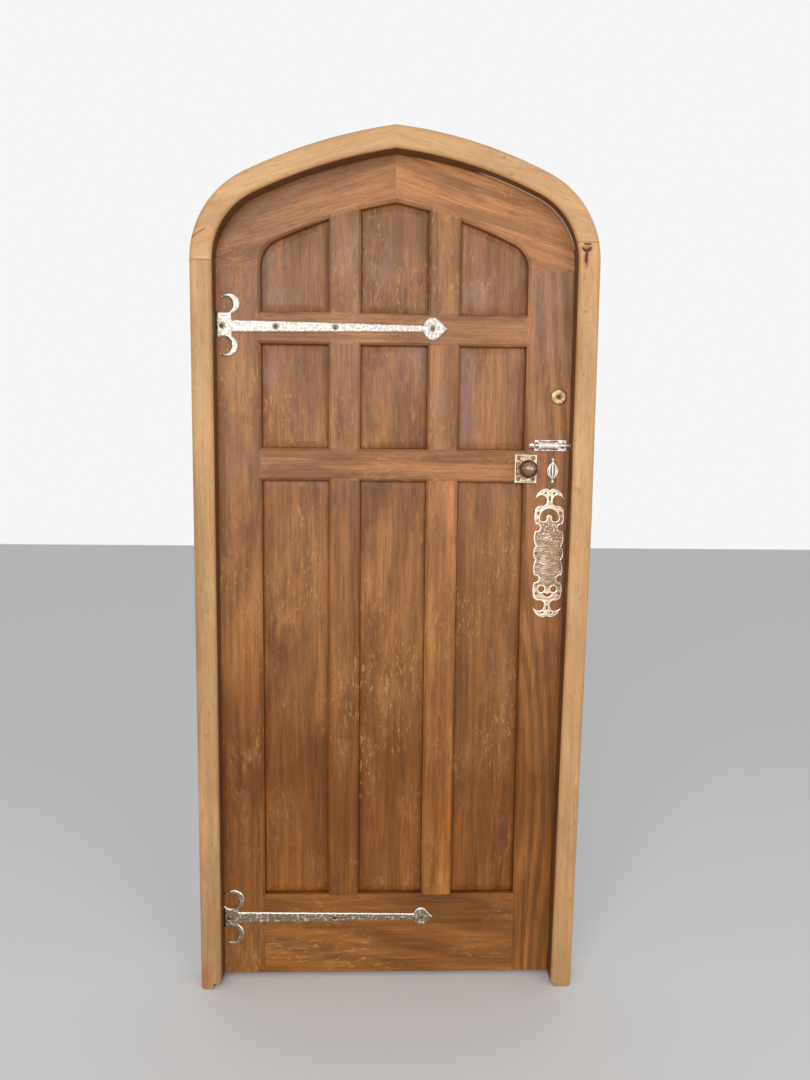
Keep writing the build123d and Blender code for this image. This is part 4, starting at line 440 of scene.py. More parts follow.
PANEL_OAK = dict(
    STAINED_OAK, painted_sheen=(tone(150, 121, 117), 0.85), smear=(tone(88, 54, 30), 0.62),
    wear=(tone(184, 128, 72), 0.50), rays=(tone(198, 144, 86), 0.64), figure=0.12,
    heights=[(0.00, tone(146, 91, 37)), (0.45, tone(133, 78, 27)), (0.85, tone(149, 97, 50)),
             (1.20, tone(154, 103, 64)), (1.60, tone(152, 105, 70)), (1.90, tone(160, 110, 70))],
)
LOOKS = {"frame_oak": PALE_OAK, "leaf_oak": STAINED_OAK, "panel_oak": PANEL_OAK}
BOARD_LIGHT = {
    "frame_head_right": 1.04, "lock_jamb": 1.11, "head_rail_right": 1.18, "lock_stile": 1.08,
    "upper_muntin_left": 0.74, "upper_muntin_right": 0.95, "middle_muntin_left": 1.04,
    "lower_muntin_left": 0.96, "lower_muntin_right": 1.40, "top_centre_panel": 0.88,
    "middle_centre_panel": 1.08, "middle_right_panel": 1.06, "lower_left_panel": 1.06,
    "lower_centre_panel": 1.03, "lower_right_panel": 0.93,
}
BOARD_FIGURE = {"lock_stile": (0.23, 21.0), "head_rail_right": (0.15, 17.0)}
print("boards with a lightness of their own", len(BOARD_LIGHT))


# %% [markdown]
# Each board is a node of the CAD model, and its slot in the model's record names its look. The
# grain runs along a board, so its angle follows from what the board is. The boards are taken in
# the order of their names, so that each keeps its own patch of noise.

# %% Oak boards
HEAD_LEAN = 17.0


def board_lean(name):
    """Angle of a board's grain: rails lie level, the halves of a head slope, the rest stand."""
    if "rail" in name and "head" not in name:
        return 0.0
    if "head" in name:
        return HEAD_LEAN if name.endswith("left") else -HEAD_LEAN
    return 90.0


def board_look(name, look):
    """The look with each height's colour times the board's lightness, and with its own figure:
    how strong that is, and how many rings it has."""
    factor = BOARD_LIGHT.get(name, 1.0)
    figure, rings = BOARD_FIGURE.get(name, (look["figure"], look["rings"]))
    heights = [(z, (*(factor * part for part in shade[:3]), 1.0)) for z, shade in look["heights"]]
    return dict(look, heights=heights, figure=figure, rings=rings)


slot_of = {entry["node"]: entry["material_slot"] for entry in frame["record"]["subparts"]}
for number, (name, part) in enumerate(sorted(frame["nodes"].items())):
    if slot_of[name] in LOOKS:
        look = board_look(name, LOOKS[slot_of[name]])
        part.data.materials.clear()
        part.data.materials.append(oak(name + "_oak", board_lean(name), number, look))
print("oak boards", sum(slot in LOOKS for slot in slot_of.values()))


# %% [markdown]
# Metal is simpler than wood. Its colour is that of its reflection, and what makes it look worked
# is the relief: shallow hammer dents, scratches, and dark oxide that stays in the hollows. The
# small fittings get all of this from noise, and their corners get painted shade and grime. The
# forged irons, which are made anew below, have dents as real surface, and their finish reads
# from the mesh where those are.

# %% Metal recipes
# Cells per metre, detail and roughness of each noise, and the values between which some fade in.
METAL_NOISES = {
    "tarnish": (160, 5, 0.65), "polish": (1400, 3, 0.6), "mottle": (120, 5, 0.65),
    "grit": (620, 3, 0.7), "scratch": (900, 3, 0.55),
}
METAL_FADES = {
    "tarnish": (0.42, 0.70), "mottle": (0.52, 0.66), "grime": (0.12, 0.62),
    "grit": (0.60, 0.70), "scratch": (0.62, 0.72),
}
ROUGH_FADE = (0.35, 0.7)
# Painted shade and grime in corners: colour, amount, reach, and the occlusion where it is full and
# where it is gone.
CORNER_SHADE_AND_GRIME = (tone(40, 30, 22), 0.85, 4 * MM, 0.3, 0.85)
RIM_WIDTH = (0.6 * MM, 2.4 * MM)
PITTED_DEPTH = 0.0004


def metal(name, bright, dark, roughness, dents, dent_depth, shine=1.0):
    """Hand worked metal. bright and dark are its clean and oxidised colours, dents is their
    number per metre, dent_depth their depth in metres and shine how metallic it is."""
    finish, tree, shader = new_finish(name)
    place = node(tree, "TexCoord").outputs["Object"]
    hammer = node(tree, "TexVoronoi", {"Vector": place, "Scale": dents}, feature="SMOOTH_F1").outputs[0]
    polish = noise(tree, placed(tree, place, scale=(0.12, 1, 1)), *METAL_NOISES["polish"])
    tarnish = noise(tree, place, *METAL_NOISES["tarnish"])
    colour = mixed(tree, spread(tree, tarnish, *METAL_FADES["tarnish"]), bright, dark)
    # Painted shade and grime in the fitting's corners, from ambient occlusion.
    colour = corner_shade_and_dirt(tree, colour, *CORNER_SHADE_AND_GRIME)
    rough = spread(tree, tarnish, *ROUGH_FADE, roughness, roughness + 0.22)
    height = maths(tree, "ADD", hammer, maths(tree, "MULTIPLY", polish, 0.06))
    feed(tree, shader, Base_Color=colour, Roughness=rough, Normal=relief(tree, height, dent_depth))
    fixed(shader, Metallic=shine)
    return finish


def forged(name, rim, body, dark, roughness, pits):
    """Forged plate. Its mesh carries two values at each point: depth is how far in from the edge
    it lies and hollow how deep in a dent. The rim's colour is where hands and cloths have kept
    it bright, the body's lies between, and the dark one is oxide in dents, pits and scratches."""
    finish, tree, shader = new_finish(name)
    place = node(tree, "TexCoord").outputs["Object"]
    depth = node(tree, "Attribute", attribute_name="depth").outputs["Fac"]
    hollow = node(tree, "Attribute", attribute_name="hollow").outputs["Fac"]
    mottle = noise(tree, placed(tree, place, scale=(0.4, 1, 1)), *METAL_NOISES["mottle"])
    grit = noise(tree, place, *METAL_NOISES["grit"])
    along = placed(tree, place, scale=(0.10, 1, 1), turn=(0, 0.06, 0))
    scratch = noise(tree, along, *METAL_NOISES["scratch"])
    patches = maths(tree, "MULTIPLY", maths(tree, "SUBTRACT", mottle, 0.5), -0.9)
    grime = maths(tree, "ADD", hollow, patches)
    colour = mixed(tree, spread(tree, depth, *RIM_WIDTH), rim, body)
    colour = mixed(tree, spread(tree, mottle, *METAL_FADES["mottle"], 0.0, 0.65), colour, rim)
    colour = mixed(tree, spread(tree, grime, *METAL_FADES["grime"], 0.0, 0.85), colour, dark)
    colour = mixed(tree, spread(tree, grit, *METAL_FADES["grit"], 0.0, pits), colour, dark)
    colour = mixed(tree, spread(tree, scratch, *METAL_FADES["scratch"], 0.0, pits), colour, dark)
    rough = spread(tree, mottle, *ROUGH_FADE, roughness, roughness + 0.2)
    raised, sunk = maths(tree, "MULTIPLY", mottle, 0.6), maths(tree, "MULTIPLY", grit, -0.5)
    height = maths(tree, "ADD", raised, sunk)
    feed(tree, shader, Base_Color=colour, Roughness=rough, Normal=relief(tree, height, PITTED_DEPTH))
    fixed(shader, Metallic=1.0)
    return finish


# %% [markdown]
# The door's metals differ. The two hinge fronts are one iron, given a painted reflection of the
# sky on the upper one and a darker painted reflection of the floor on the lower one. The plates
# are worn nickel, the knobs bronze, and the night latch has a brass cylinder with a darker plug.
# Each finish is one line of a table, and a node's slot picks it. Two nodes are darker than their
# slot, so they name a finish of their own.

# %% Metal finishes
PLAIN_METALS = {
    "bright_steel": (tone(196, 186, 176), tone(120, 106, 94), 0.32, 130, 0.0005),
    "plain_steel": (tone(176, 172, 168), tone(120, 112, 104), 0.36, 60, 0.0002),
    "nickel": (tone(240, 230, 220), tone(168, 146, 128), 0.24, 60, 0.00003),
    "lock_steel": (tone(170, 168, 165), tone(120, 110, 100), 0.34, 60, 0.0001),
    "bronze": (tone(156, 130, 106), tone(112, 86, 64), 0.23, 30, 0.00002),
    "brass": (tone(206, 180, 130), tone(150, 124, 80), 0.36, 60, 0.0001),
    "plug_brass": (tone(128, 104, 68), tone(64, 48, 28), 0.42, 60, 0.0001),
    "latch_enamel": (tone(120, 98, 74), tone(88, 70, 52), 0.42, 60, 0.0001),
    "screw_steel": (tone(134, 120, 106), tone(64, 52, 42), 0.38, 200, 0.00005),
    "rust": (tone(128, 72, 44), tone(78, 42, 28), 0.70, 320, 0.0003, 0.3),
}
# The hinge irons are one metal: the upper one's colours are a painted reflection of the sky, the lower
# one's a painted reflection of the floor.
FORGED_METALS = {
    "bright_iron": (tone(246, 242, 239), tone(226, 219, 212), tone(158, 146, 136), 0.34, 0.75),
    "dull_iron": (tone(246, 238, 226), tone(218, 206, 190), tone(140, 118, 96), 0.26, 0.4),
    "worn_nickel": (tone(252, 246, 236), tone(222, 195, 166), tone(120, 93, 72), 0.30, 0.62),
    "ribbed_nickel": (tone(252, 246, 240), tone(238, 228, 216), tone(66, 52, 42), 0.28, 0.3),
}
OWN_FINISH = {"plate_screws": "screw_steel", "cylinder_plug": "plug_brass"}
finishes = {name: metal(name, *values) for name, values in PLAIN_METALS.items()}
finishes.update({name: forged(name, *values) for name, values in FORGED_METALS.items()})
for name, part in frame["nodes"].items():
    if slot_of[name] in finishes:
        part.data.materials.clear()
        part.data.materials.append(finishes[OWN_FINISH.get(name, slot_of[name])])
print("metal nodes", sum(slot in finishes for slot in slot_of.values()))


# %% [markdown]
# The forged irons are the finest things on this door, so they are made anew. Each is a plate cut
# to an outline, with a bevelled rim and the shallow dents of a hammer. The outline is written as a
# signed distance: a function that is negative inside the iron and grows by one for each metre
# away from its edge. The minimum of two such functions joins two shapes, and the maximum of one
# and the other's negative cuts the second from the first.

# %% Signed distances
TINY = 1e-12


def disc(x, z, centre_x, centre_z, radius):
    """Distance to a circle: the length from its centre, less the radius."""
    return np.hypot(x - centre_x, z - centre_z) - radius


def oval(x, z, centre_x, centre_z, half_x, half_z):
    """Distance to an ellipse, nearly: the scaled length less one, over the length of its slope."""
    u, v = (x - centre_x) / half_x, (z - centre_z) / half_z
    length = np.hypot(u, v)
    slope = np.hypot(u / half_x, v / half_z) / np.maximum(length, TINY)
    return (length - 1.0) / np.maximum(slope, TINY)


def slab(x, z, centre_x, centre_z, half_x, half_z):
    """Distance to a rectangle: outside by its two overshoots, inside by the nearer side."""
    over_x, over_z = np.abs(x - centre_x) - half_x, np.abs(z - centre_z) - half_z
    outside = np.hypot(np.maximum(over_x, 0.0), np.maximum(over_z, 0.0))
    return outside + np.minimum(np.maximum(over_x, over_z), 0.0)


def polygon(x, z, corners):
    """Distance to a closed polygon: the nearest of its edges, negative where a ray to the right
    crosses an odd number of them. The corners are looped over, never the points."""
    corners = np.asarray(corners, float)
    nearest = np.full(np.shape(x), np.inf)
    inside = np.zeros(np.shape(x), bool)
    for (ax, az), (bx, bz) in zip(corners, np.roll(corners, -1, axis=0)):
        along_x, along_z = bx - ax, bz - az
        span = max(along_x**2 + along_z**2, TINY**2)
        part = np.clip(((x - ax) * along_x + (z - az) * along_z) / span, 0.0, 1.0)
        nearest = np.minimum(nearest, np.hypot(x - ax - part * along_x, z - az - part * along_z))
        crosses = (az > z) != (bz > z)
        rise = along_z if abs(along_z) > TINY else TINY
        inside ^= crosses & (x < ax + (z - az) * along_x / rise)
    return np.where(inside, -nearest, nearest)


print("the middle of a disc of 10 mm lies at", disc(0.0, 0.0, 0.0, 0.0, 10 * MM), "m")


# %% [markdown]
# A polygon needs corners, and the irons have round stretches. Two curves give them: an arc where
# three points of a circle are known, and a cubic curve where only its ends and its pull are.

# %% Curves for outlines
def arc(start, middle, end, count=9):
    """Points on the circle through three points, from the first to the last. Its centre is the
    one place that is equally far from all three, solved from their squared lengths."""
    (ax, az), (bx, bz), (cx, cz) = start, middle, end
    twice = 2.0 * (ax * (bz - cz) + bx * (cz - az) + cx * (az - bz))
    square_a, square_b, square_c = ax * ax + az * az, bx * bx + bz * bz, cx * cx + cz * cz
    ox = (square_a * (bz - cz) + square_b * (cz - az) + square_c * (az - bz)) / twice
    oz = (square_a * (cx - bx) + square_b * (ax - cx) + square_c * (bx - ax)) / twice
    first, second, last = (math.atan2(pz - oz, px - ox) for px, pz in (start, middle, end))
    turn, part = (last - first) % math.tau, (second - first) % math.tau
    if part > turn:
        turn -= math.tau
    angles = first + turn * np.linspace(0.0, 1.0, count)
    radius = math.hypot(ax - ox, az - oz)
    return np.column_stack([ox + radius * np.cos(angles), oz + radius * np.sin(angles)])


def bezier(points, count=12):
    """Points on a cubic curve: its four corners weighted by the usual cubic shares."""
    t = np.linspace(0.0, 1.0, count)[:, None]
    a, b, c, d = np.asarray(points, float)
    return (1 - t) ** 3 * a + 3 * (1 - t) ** 2 * t * b + 3 * (1 - t) * t**2 * c + t**3 * d


print("corners on a half circle", len(arc((-1.0, 0.0), (0.0, 1.0), (1.0, 0.0))))


# %% [markdown]
# Blender keeps a shape apart from the object that shows it: a mesh holds points and faces, and an
# object puts it into the scene. A few helpers make both. Points are given where they belong on
# the door, so every piece's object stays at the origin, unturned.

# %% Meshes and objects
SHARP_ANGLE = math.radians(40)


def new_mesh(name, points, faces):
    """A mesh of an array of points and a list of faces, each face a list of its points' numbers."""
    mesh = bpy.data.meshes.new(name)
    mesh.from_pydata(points.tolist(), [], faces)
    return mesh


def linked(name, data):
    """A new object in the scene that holds the data: a mesh, a lamp or a camera."""
    made = bpy.data.objects.new(name, data)
    bpy.context.scene.collection.objects.link(made)
    return made


def sealed(mesh):
    """Merge the points that coincide, then turn every face outwards."""
    work = bmesh.new()
    work.from_mesh(mesh)
    bmesh.ops.remove_doubles(work, verts=work.verts, dist=1e-6)
    bmesh.ops.recalc_face_normals(work, faces=work.faces)
    work.to_mesh(mesh)
    work.free()


def dressed(piece, body, slot_name, finish, *nodes):
    """Let a new piece ride on its body with its finish, in place of the nodes named. slot_name is not
    used.
    """
    piece.data.materials.append(finish)
    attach(piece, body)
    if nodes:
        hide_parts(*nodes)
    return piece


# %% [markdown]
# A plate is a grid of small squares laid over the outline. Squares whose middle is inside are
# kept, and the corners along the ragged border slide down the distance's slope until they lie on
# the outline. The front then rises from the rim by a function of the distance, and walls join it
# to the back. A steady grid like this shades evenly, which a plate cut from long triangles doesn't.

# %% Plates from an outline
SLIDES = 5


def squares_inside(distance, box, step):
    """Points and squares of a grid over the box, where the middle of a square is inside."""
    x_low, x_high, z_low, z_high = box
    xs = np.arange(x_low, x_high + step, step)
    zs = np.arange(z_low, z_high + step, step)
    x, z = (part.ravel() for part in np.meshgrid(xs, zs))
    across = len(xs)
    first = (np.arange(len(zs) - 1)[:, None] * across + np.arange(across - 1)).ravel()
    squares = np.column_stack([first, first + 1, first + across + 1, first + across])
    squares = squares[distance(x[squares].mean(axis=1), z[squares].mean(axis=1)) < 0.0]
    used, squares = np.unique(squares, return_inverse=True)
    return x[used], z[used], squares.reshape(-1, 4)


def border_of(squares, count):
    """Edges of one square only: those that no other square has in the opposite direction."""
    edges = np.concatenate([squares[:, [k, (k + 1) % 4]] for k in range(4)])
    key = edges[:, 0].astype(np.int64) * count + edges[:, 1]
    mirror_key = edges[:, 1].astype(np.int64) * count + edges[:, 0]
    return edges[~np.isin(key, mirror_key)]


def slid_to_outline(distance, x, z, step):
    """Points moved against the distance's slope, by the distance over the slope's square and at
    most by a step. The slope is the difference over a small way to both sides."""
    small = step * 0.05
    for _ in range(SLIDES):
        slope_x = (distance(x + small, z) - distance(x - small, z)) / (2 * small)
        slope_z = (distance(x, z + small) - distance(x, z - small)) / (2 * small)
        steep = np.maximum(slope_x**2 + slope_z**2, 0.25)
        move = np.clip(distance(x, z) / steep, -step, step)
        x, z = x - move * slope_x, z - move * slope_z
    return x, z


def plate(name, distance, box, step, back, face):
    """A closed plate: distance(x, z) is its outline, box its (x, z) limits and back the level that
    it sits on. face(x, z, depth) gives how far its front stands off that level and how hollow it
    is there, depth being the distance in from the rim. The front faces -Y."""
    x, z, squares = squares_inside(distance, box, step)
    count = len(x)
    border = border_of(squares, count)
    rim = np.unique(border)
    x[rim], z[rim] = slid_to_outline(distance, x[rim], z[rim], step)
    depth = np.maximum(-distance(x, z), 0.0)
    depth[rim] = 0.0
    height, hollow = face(x, z, depth)
    front = np.column_stack([x, back - height, z])
    rear = np.column_stack([x, np.full(count, back), z])
    walls = np.column_stack([border[:, 1], border[:, 0], border[:, 0] + count, border[:, 1] + count])
    faces = np.concatenate([squares, squares[:, ::-1] + count, walls])
    mesh = new_mesh(name, np.concatenate([front, rear]), faces.tolist())
    for label, values in (("depth", depth), ("hollow", hollow)):
        kept = mesh.attributes.new(label, "FLOAT", "POINT")
        kept.data.foreach_set("value", np.tile(values, 2).astype(np.float32))
    mesh.shade_smooth()
    mesh.set_sharp_from_angle(angle=SHARP_ANGLE)
    print(name, "vertices", 2 * count, "faces", len(faces))
    return linked(name, mesh)


# %% [markdown]
# A hammer leaves shallow bowls that meet in ridges, and no two blows fall alike. So a plate's
# face is divided into cells, each blow lands somewhere in its own cell, and every point belongs
# to the nearest blow. The places look random, but they come from a formula and are the same each
# time. The rim and the gaps round the screws are formulas of the distance too.

# %% Worked faces
SCATTER_X, SCATTER_Z, SCATTER_GAIN = (127.1, 311.7), (269.5, 183.3), 43758.5453
CELL_EDGE, CELL_ROOM = 0.15, 0.7
DENT_LIMIT = 0.6


def scattered(cell_x, cell_z, weights, seed):
    """A number from 0 to 1 for each cell: what is left of a large multiple of a sine after its
    whole part is taken away."""
    return np.sin(cell_x * weights[0] + cell_z * weights[1] + seed) * SCATTER_GAIN % 1.0


def hammer_dents(x, z, pitch, seed):
    """The squared distance to the nearest blow, in units of the pitch, up to a limit. The nearest
    is the least over nine neighbouring cells."""
    nearest = np.full(np.shape(x), np.inf)
    for step_x in (-1, 0, 1):
        for step_z in (-1, 0, 1):
            cell_x, cell_z = np.floor(x / pitch) + step_x, np.floor(z / pitch) + step_z
            blow_x = cell_x + CELL_EDGE + CELL_ROOM * scattered(cell_x, cell_z, SCATTER_X, seed)
            blow_z = cell_z + CELL_EDGE + CELL_ROOM * scattered(cell_x, cell_z, SCATTER_Z, seed)
            nearest = np.minimum(nearest, (x - blow_x * pitch) ** 2 + (z - blow_z * pitch) ** 2)
    return np.minimum(nearest / pitch**2, DENT_LIMIT)


def bowls(x, z, pitch, seed):
    """How hollow a hammered face is: one at the middle of each dent, nothing on its ridges."""
    return 1.0 - hammer_dents(x, z, pitch, seed) / DENT_LIMIT


def ramp(value, start, width):
    """Nothing up to the start, one past the width beyond it, and straight between."""
    return np.clip((value - start) / width, 0.0, 1.0)


def rim_slope(depth, bevel):
    """Nothing at the edge, one past the bevel, rounded like a quarter of a sine."""
    return np.sin(ramp(depth, 0.0, bevel) * math.pi / 2)


def rings_round(x, z, places, radius, width):
    """One on a ring round each place, fading over the width: the gap round a screw's head."""
    found = np.zeros(np.shape(x))
    for place_x, place_z in places:
        gap = np.abs(np.hypot(x - place_x, z - place_z) - radius) / width
        found = np.maximum(found, np.clip(1.0 - gap, 0.0, 1.0))
    return found


def box_round(low, high, margin):
    """Limits in x and z of a box with a margin all round."""
    return low[0] - margin, high[0] + margin, low[2] - margin, high[2] + margin


# %% [markdown]
# Each hinge front has a stepped root, two crescents, a strap that tapers away from the hinge and
# a leaf-shaped end. A crescent is one circle less another. The two fronts were forged by hand and
# differ, so each has its own circles and its own end.

# %% Outline of a hinge front
LEAF_FACE = -22 * MM
ROOT_X = -390 * MM
ROOT_HALF, ROOT_RISE = (16.5 * MM, 27.25 * MM), 2.75 * MM
STRAP_START, STRAP_HALVES = 16 * MM, (13.5 * MM, 7 * MM)


def strap_end(x, z, size):
    """Corners of the strap's leaf-shaped end: two curves above the middle line, two below."""
    back, high, point = size
    rise = [(x - back, z), (x - back, z + 0.6 * high), (x - 0.6 * back, z + high), (x, z + high)]
    fall = [(x, z + high), (x + 0.42 * point, z + high), (x + 0.6 * point, z + 0.34 * high),
            (x + point, z)]
    upper = np.concatenate([bezier(rise)[:-1], bezier(fall)])
    lower = upper[1:-1][::-1] * (1, -1) + (0, 2 * z)
    return np.concatenate([upper, lower])[::-1]


def hinge_distance(middle, reach, end_size, outer, inner):
    """The signed distance to a whole hinge front, as a function of x and z."""
    tip_x = ROOT_X + reach
    end = strap_end(tip_x, middle, end_size)
    wide, narrow = STRAP_HALVES
    strap = [(ROOT_X + STRAP_START, middle - wide), (tip_x, middle - narrow),
             (tip_x, middle + narrow), (ROOT_X + STRAP_START, middle + wide)]

    def distance(x, z):
        """Root and outer discs joined, inner discs cut from them, then strap and end joined."""
        found = slab(x, z, ROOT_X + ROOT_HALF[0], middle + ROOT_RISE, *ROOT_HALF)
        for sign, (dx, dz, radius) in zip((1, -1), np.array(outer) * MM):
            found = np.minimum(found, disc(x, z, ROOT_X + dx, middle + sign * dz, radius))
        for sign, (dx, dz, radius) in zip((1, -1), np.array(inner) * MM):
            found = np.maximum(found, -disc(x, z, ROOT_X + dx, middle + sign * dz, radius))
        found = np.minimum(found, polygon(x, z, strap))
        return np.minimum(found, polygon(x, z, end))

    return distance


# %% [markdown]
# The face of a hinge front rises in a rounded bevel from the rim, dips in every dent and falls
# away round the screws. A slow wave keeps it from looking flat. The finish reads how hollow the
# iron is from the mesh, so that oxide lies in the dents and gaps.

# %% Hinge fronts
# The slow wave's height, and its radians per metre along x and z.
WAVE, WAVE_TURNS = 0.15 * MM, (61.0, 83.0)
STRAP_GAP, GAP_DEPTH = (6.2 * MM, 1.5 * MM), 0.8 * MM
STRAP_SCREWS = (12.5 * MM, 129.5 * MM, 260.0 * MM)
# Middle height, reach, end (back, height, point), outer and inner discs in millimetres (along,
# up or down, radius) for the upper and lower crescent, finish and seed of the dents.
HINGES = {
    "upper": (1519.5 * MM, 474 * MM, (21 * MM, 25 * MM, 35 * MM),
              ((29.1, 48.0, 22.0), (22.7, 42.5, 23.5)), ((19.3, 45.9, 17.0), (14.0, 41.5, 18.8)),
              "bright_iron", 1.7),
    "lower": (151 * MM, 464.5 * MM, (17 * MM, 21.8 * MM, 27.5 * MM),
              ((23.0, 44.0, 24.2), (21.5, 40.0, 25.0)), ((15.5, 41.5, 19.6), (13.5, 41.2, 19.9)),
              "dull_iron", 4.1),
}


def forged_face(thickness, bevel, drop, pitch, dent, seed, screws):
    """Front of a hammered iron: the thickness less the rim's drop and the dents, plus a slow
    wave, less a gap round each screw."""
    def face(x, z, depth):
        """The height of the front and how hollow it is, from the distance in from the rim."""
        slope = rim_slope(depth, bevel)
        hollow = bowls(x, z, pitch, seed) * slope
        gap = rings_round(x, z, screws, *STRAP_GAP)
        wave = WAVE * np.sin(x * WAVE_TURNS[0] + seed) * np.sin(z * WAVE_TURNS[1] + 2 * seed)
        height = thickness - WAVE - drop * (1.0 - slope) - dent * hollow + wave - GAP_DEPTH * gap
        return height, np.maximum(0.8 * hollow, 1.3 * gap)
    return face


screw_places = []
for level, (middle, reach, end_size, outer, inner, finish_name, seed) in HINGES.items():
    low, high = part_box(level + "_hinge_front")
    outline = hinge_distance(middle, reach, end_size, outer, inner)
    screws = [(ROOT_X + run, middle) for run in (*STRAP_SCREWS, reach)]
    screw_places += screws
    face = forged_face(thickness=5 * MM, bevel=2.6 * MM, drop=2.2 * MM, pitch=8 * MM,
                       dent=0.5 * MM, seed=seed, screws=screws)
    box = box_round(low, high, 2 * MM)
    iron = plate(level + "_hinge_iron", outline, box, 0.8 * MM, LEAF_FACE, face)
    dressed(iron, "door", "bright_steel", finishes[finish_name], level + "_hinge_front")


# %% [markdown]
# The screws that hold the straps have domed heads with a slot. A dome is a part of a ball: its
# height falls as one less the square of the distance from its middle. The slot is a trough cut
# across it. Each row of the grid spans the circle from edge to edge, so its two sides close by
# themselves, and a wall runs down from the rim into the strap.

# %% Screw heads
DOME_POINTS = 25
FIRST_TURN, NEXT_TURN = 0.9, 1.37
SLOT_HALF, SLOT_DEPTH = 0.15, 0.6


def dome(radius):
    """Points, faces and rim of a round grid: x = R sin u and z = R cos u sin t, for u and t from
    minus to plus a quarter turn."""
    steps = np.linspace(-1.0, 1.0, DOME_POINTS) * math.pi / 2
    x = radius * np.sin(steps)[:, None] * np.ones(DOME_POINTS)
    z = radius * np.cos(steps)[:, None] * np.sin(steps)
    grid = np.arange(DOME_POINTS**2).reshape(DOME_POINTS, DOME_POINTS)
    corners = (grid[:-1, :-1], grid[1:, :-1], grid[1:, 1:], grid[:-1, 1:])
    faces = np.column_stack([part.ravel() for part in corners])
    return x.ravel(), z.ravel(), faces, np.concatenate([grid[:, 0], grid[1:-1, -1][::-1]])


def screw_heads(name, places, level_y, radius, rise, sunk):
    """Slotted domes facing -Y. At the distance r from the middle a head's height is
    rise (1 - r^2 / R^2), less the slot's trough, which has the fourth power's steep sides."""
    disc_x, disc_z, dome_faces, rim = dome(radius)
    foot = len(disc_x) + np.arange(len(rim))
    wall_faces = np.column_stack([rim, np.roll(rim, -1), np.roll(foot, -1), foot])
    points, faces = [], []
    for number, (x, z) in enumerate(places):
        turn = FIRST_TURN + NEXT_TURN * number
        across = disc_x * math.cos(turn) + disc_z * math.sin(turn)
        slot = np.clip(1.0 - (np.abs(across) / (SLOT_HALF * radius)) ** 4, 0.0, 1.0)
        height = rise * (1.0 - (disc_x**2 + disc_z**2) / radius**2) - SLOT_DEPTH * rise * slot
        front = np.column_stack([x + disc_x, level_y - height, z + disc_z])
        back = front[rim] * (1, 0, 1) + (0, level_y + sunk, 0)
        start = number * (len(front) + len(back))
        points += [front, back]
        faces += (dome_faces + start).tolist() + (wall_faces + start).tolist()
        faces.append((foot + start).tolist())
    mesh = new_mesh(name, np.concatenate(points), faces)
    sealed(mesh)
    mesh.shade_smooth()
    mesh.set_sharp_from_angle(angle=SHARP_ANGLE)
    print(name, "heads", len(places), "faces", len(faces))
    return linked(name, mesh)


strap_screws = screw_heads("strap_screw_heads", screw_places, LEAF_FACE - 4.8 * MM,
                           radius=4.9 * MM, rise=1.6 * MM, sunk=3 * MM)
dressed(strap_screws, "door", "bright_steel", finishes["screw_steel"], "hinge_front_screws")


# %% [markdown]
# The finger plate is pierced and has a bright raised border round a darker body, which was
# roughened with small curved strokes. Its outline is a quarter, mirrored twice. The long steps of
# the quarter are arcs through three points, given as parts of the plate's half width and length.

# %% Outline of the finger plate
PLATE_X, PLATE_Z = 354.8 * MM, 1022.5 * MM
PLATE_HALF = np.array([34.5 * MM, 147.5 * MM])
PLATE_QUARTER = [
    [(0.0, 0.973), (0.13, 0.997), (0.34, 0.997)], [(0.34, 0.997), (0.71, 0.956), (0.91, 0.871)],
    [(0.91, 0.871), (1.0, 0.824)], [(1.0, 0.824), (0.77, 0.880), (0.51, 0.899)],
    [(0.51, 0.899), (0.29, 0.872), (0.21, 0.810)], [(0.21, 0.810), (0.21, 0.778)],
    [(0.21, 0.778), (0.32, 0.750), (0.56, 0.738)], [(0.56, 0.738), (0.86, 0.712), (0.96, 0.640)],
    [(0.96, 0.640), (0.98, 0.510), (0.89, 0.447)], [(0.89, 0.447), (0.77, 0.447)],
    [(0.77, 0.447), (0.60, 0.397), (0.77, 0.346)], [(0.77, 0.346), (0.92, 0.346)],
    [(0.92, 0.346), (1.0, 0.224), (0.86, 0.105)], [(0.86, 0.105), (0.975, 0.064), (1.0, 0.0)],
]
ARCH = [
    [(-0.63, 0.535), (0.0, 0.694), (0.63, 0.535)], [(0.63, 0.535), (0.4, 0.494), (0.18, 0.530)],
    [(0.18, 0.530), (0.0, 0.60), (-0.18, 0.530)], [(-0.18, 0.530), (-0.4, 0.494), (-0.63, 0.535)],
]
HEART = [
    [(-0.32, -0.631), (-0.16, -0.62), (0.0, -0.637)], [(0.0, -0.637), (0.16, -0.62), (0.32, -0.631)],
    [(0.32, -0.631), (0.18, -0.664), (0.0, -0.678)], [(0.0, -0.678), (-0.18, -0.664), (-0.32, -0.631)],
]
# Pierced holes as parts of the half width and length: place, then radius or half sizes.
ROUND_HOLE, END_SLOT, EYE = (0.41, -0.556, 0.2), (0.847, 0.065, 0.034), (0.288, 0.929, 0.088, 0.015)


def traced(steps):
    """Corners along steps of two points, a straight run, or three, an arc, in the plate's parts."""
    runs = []
    for step in steps:
        corners = np.array(step) * PLATE_HALF
        runs.append((arc(*corners) if len(step) == 3 else corners)[:-1])
    return np.concatenate(runs)


quarter = np.concatenate([traced(PLATE_QUARTER), [[PLATE_HALF[0], 0.0]]])
half = np.concatenate([quarter, quarter[-2::-1] * (1, -1)])
plate_ring = np.concatenate([half, half[-2:0:-1] * (-1, 1)]) + (PLATE_X, PLATE_Z)
arch_ring, heart_ring = traced(ARCH) + (PLATE_X, PLATE_Z), traced(HEART) + (PLATE_X, PLATE_Z)


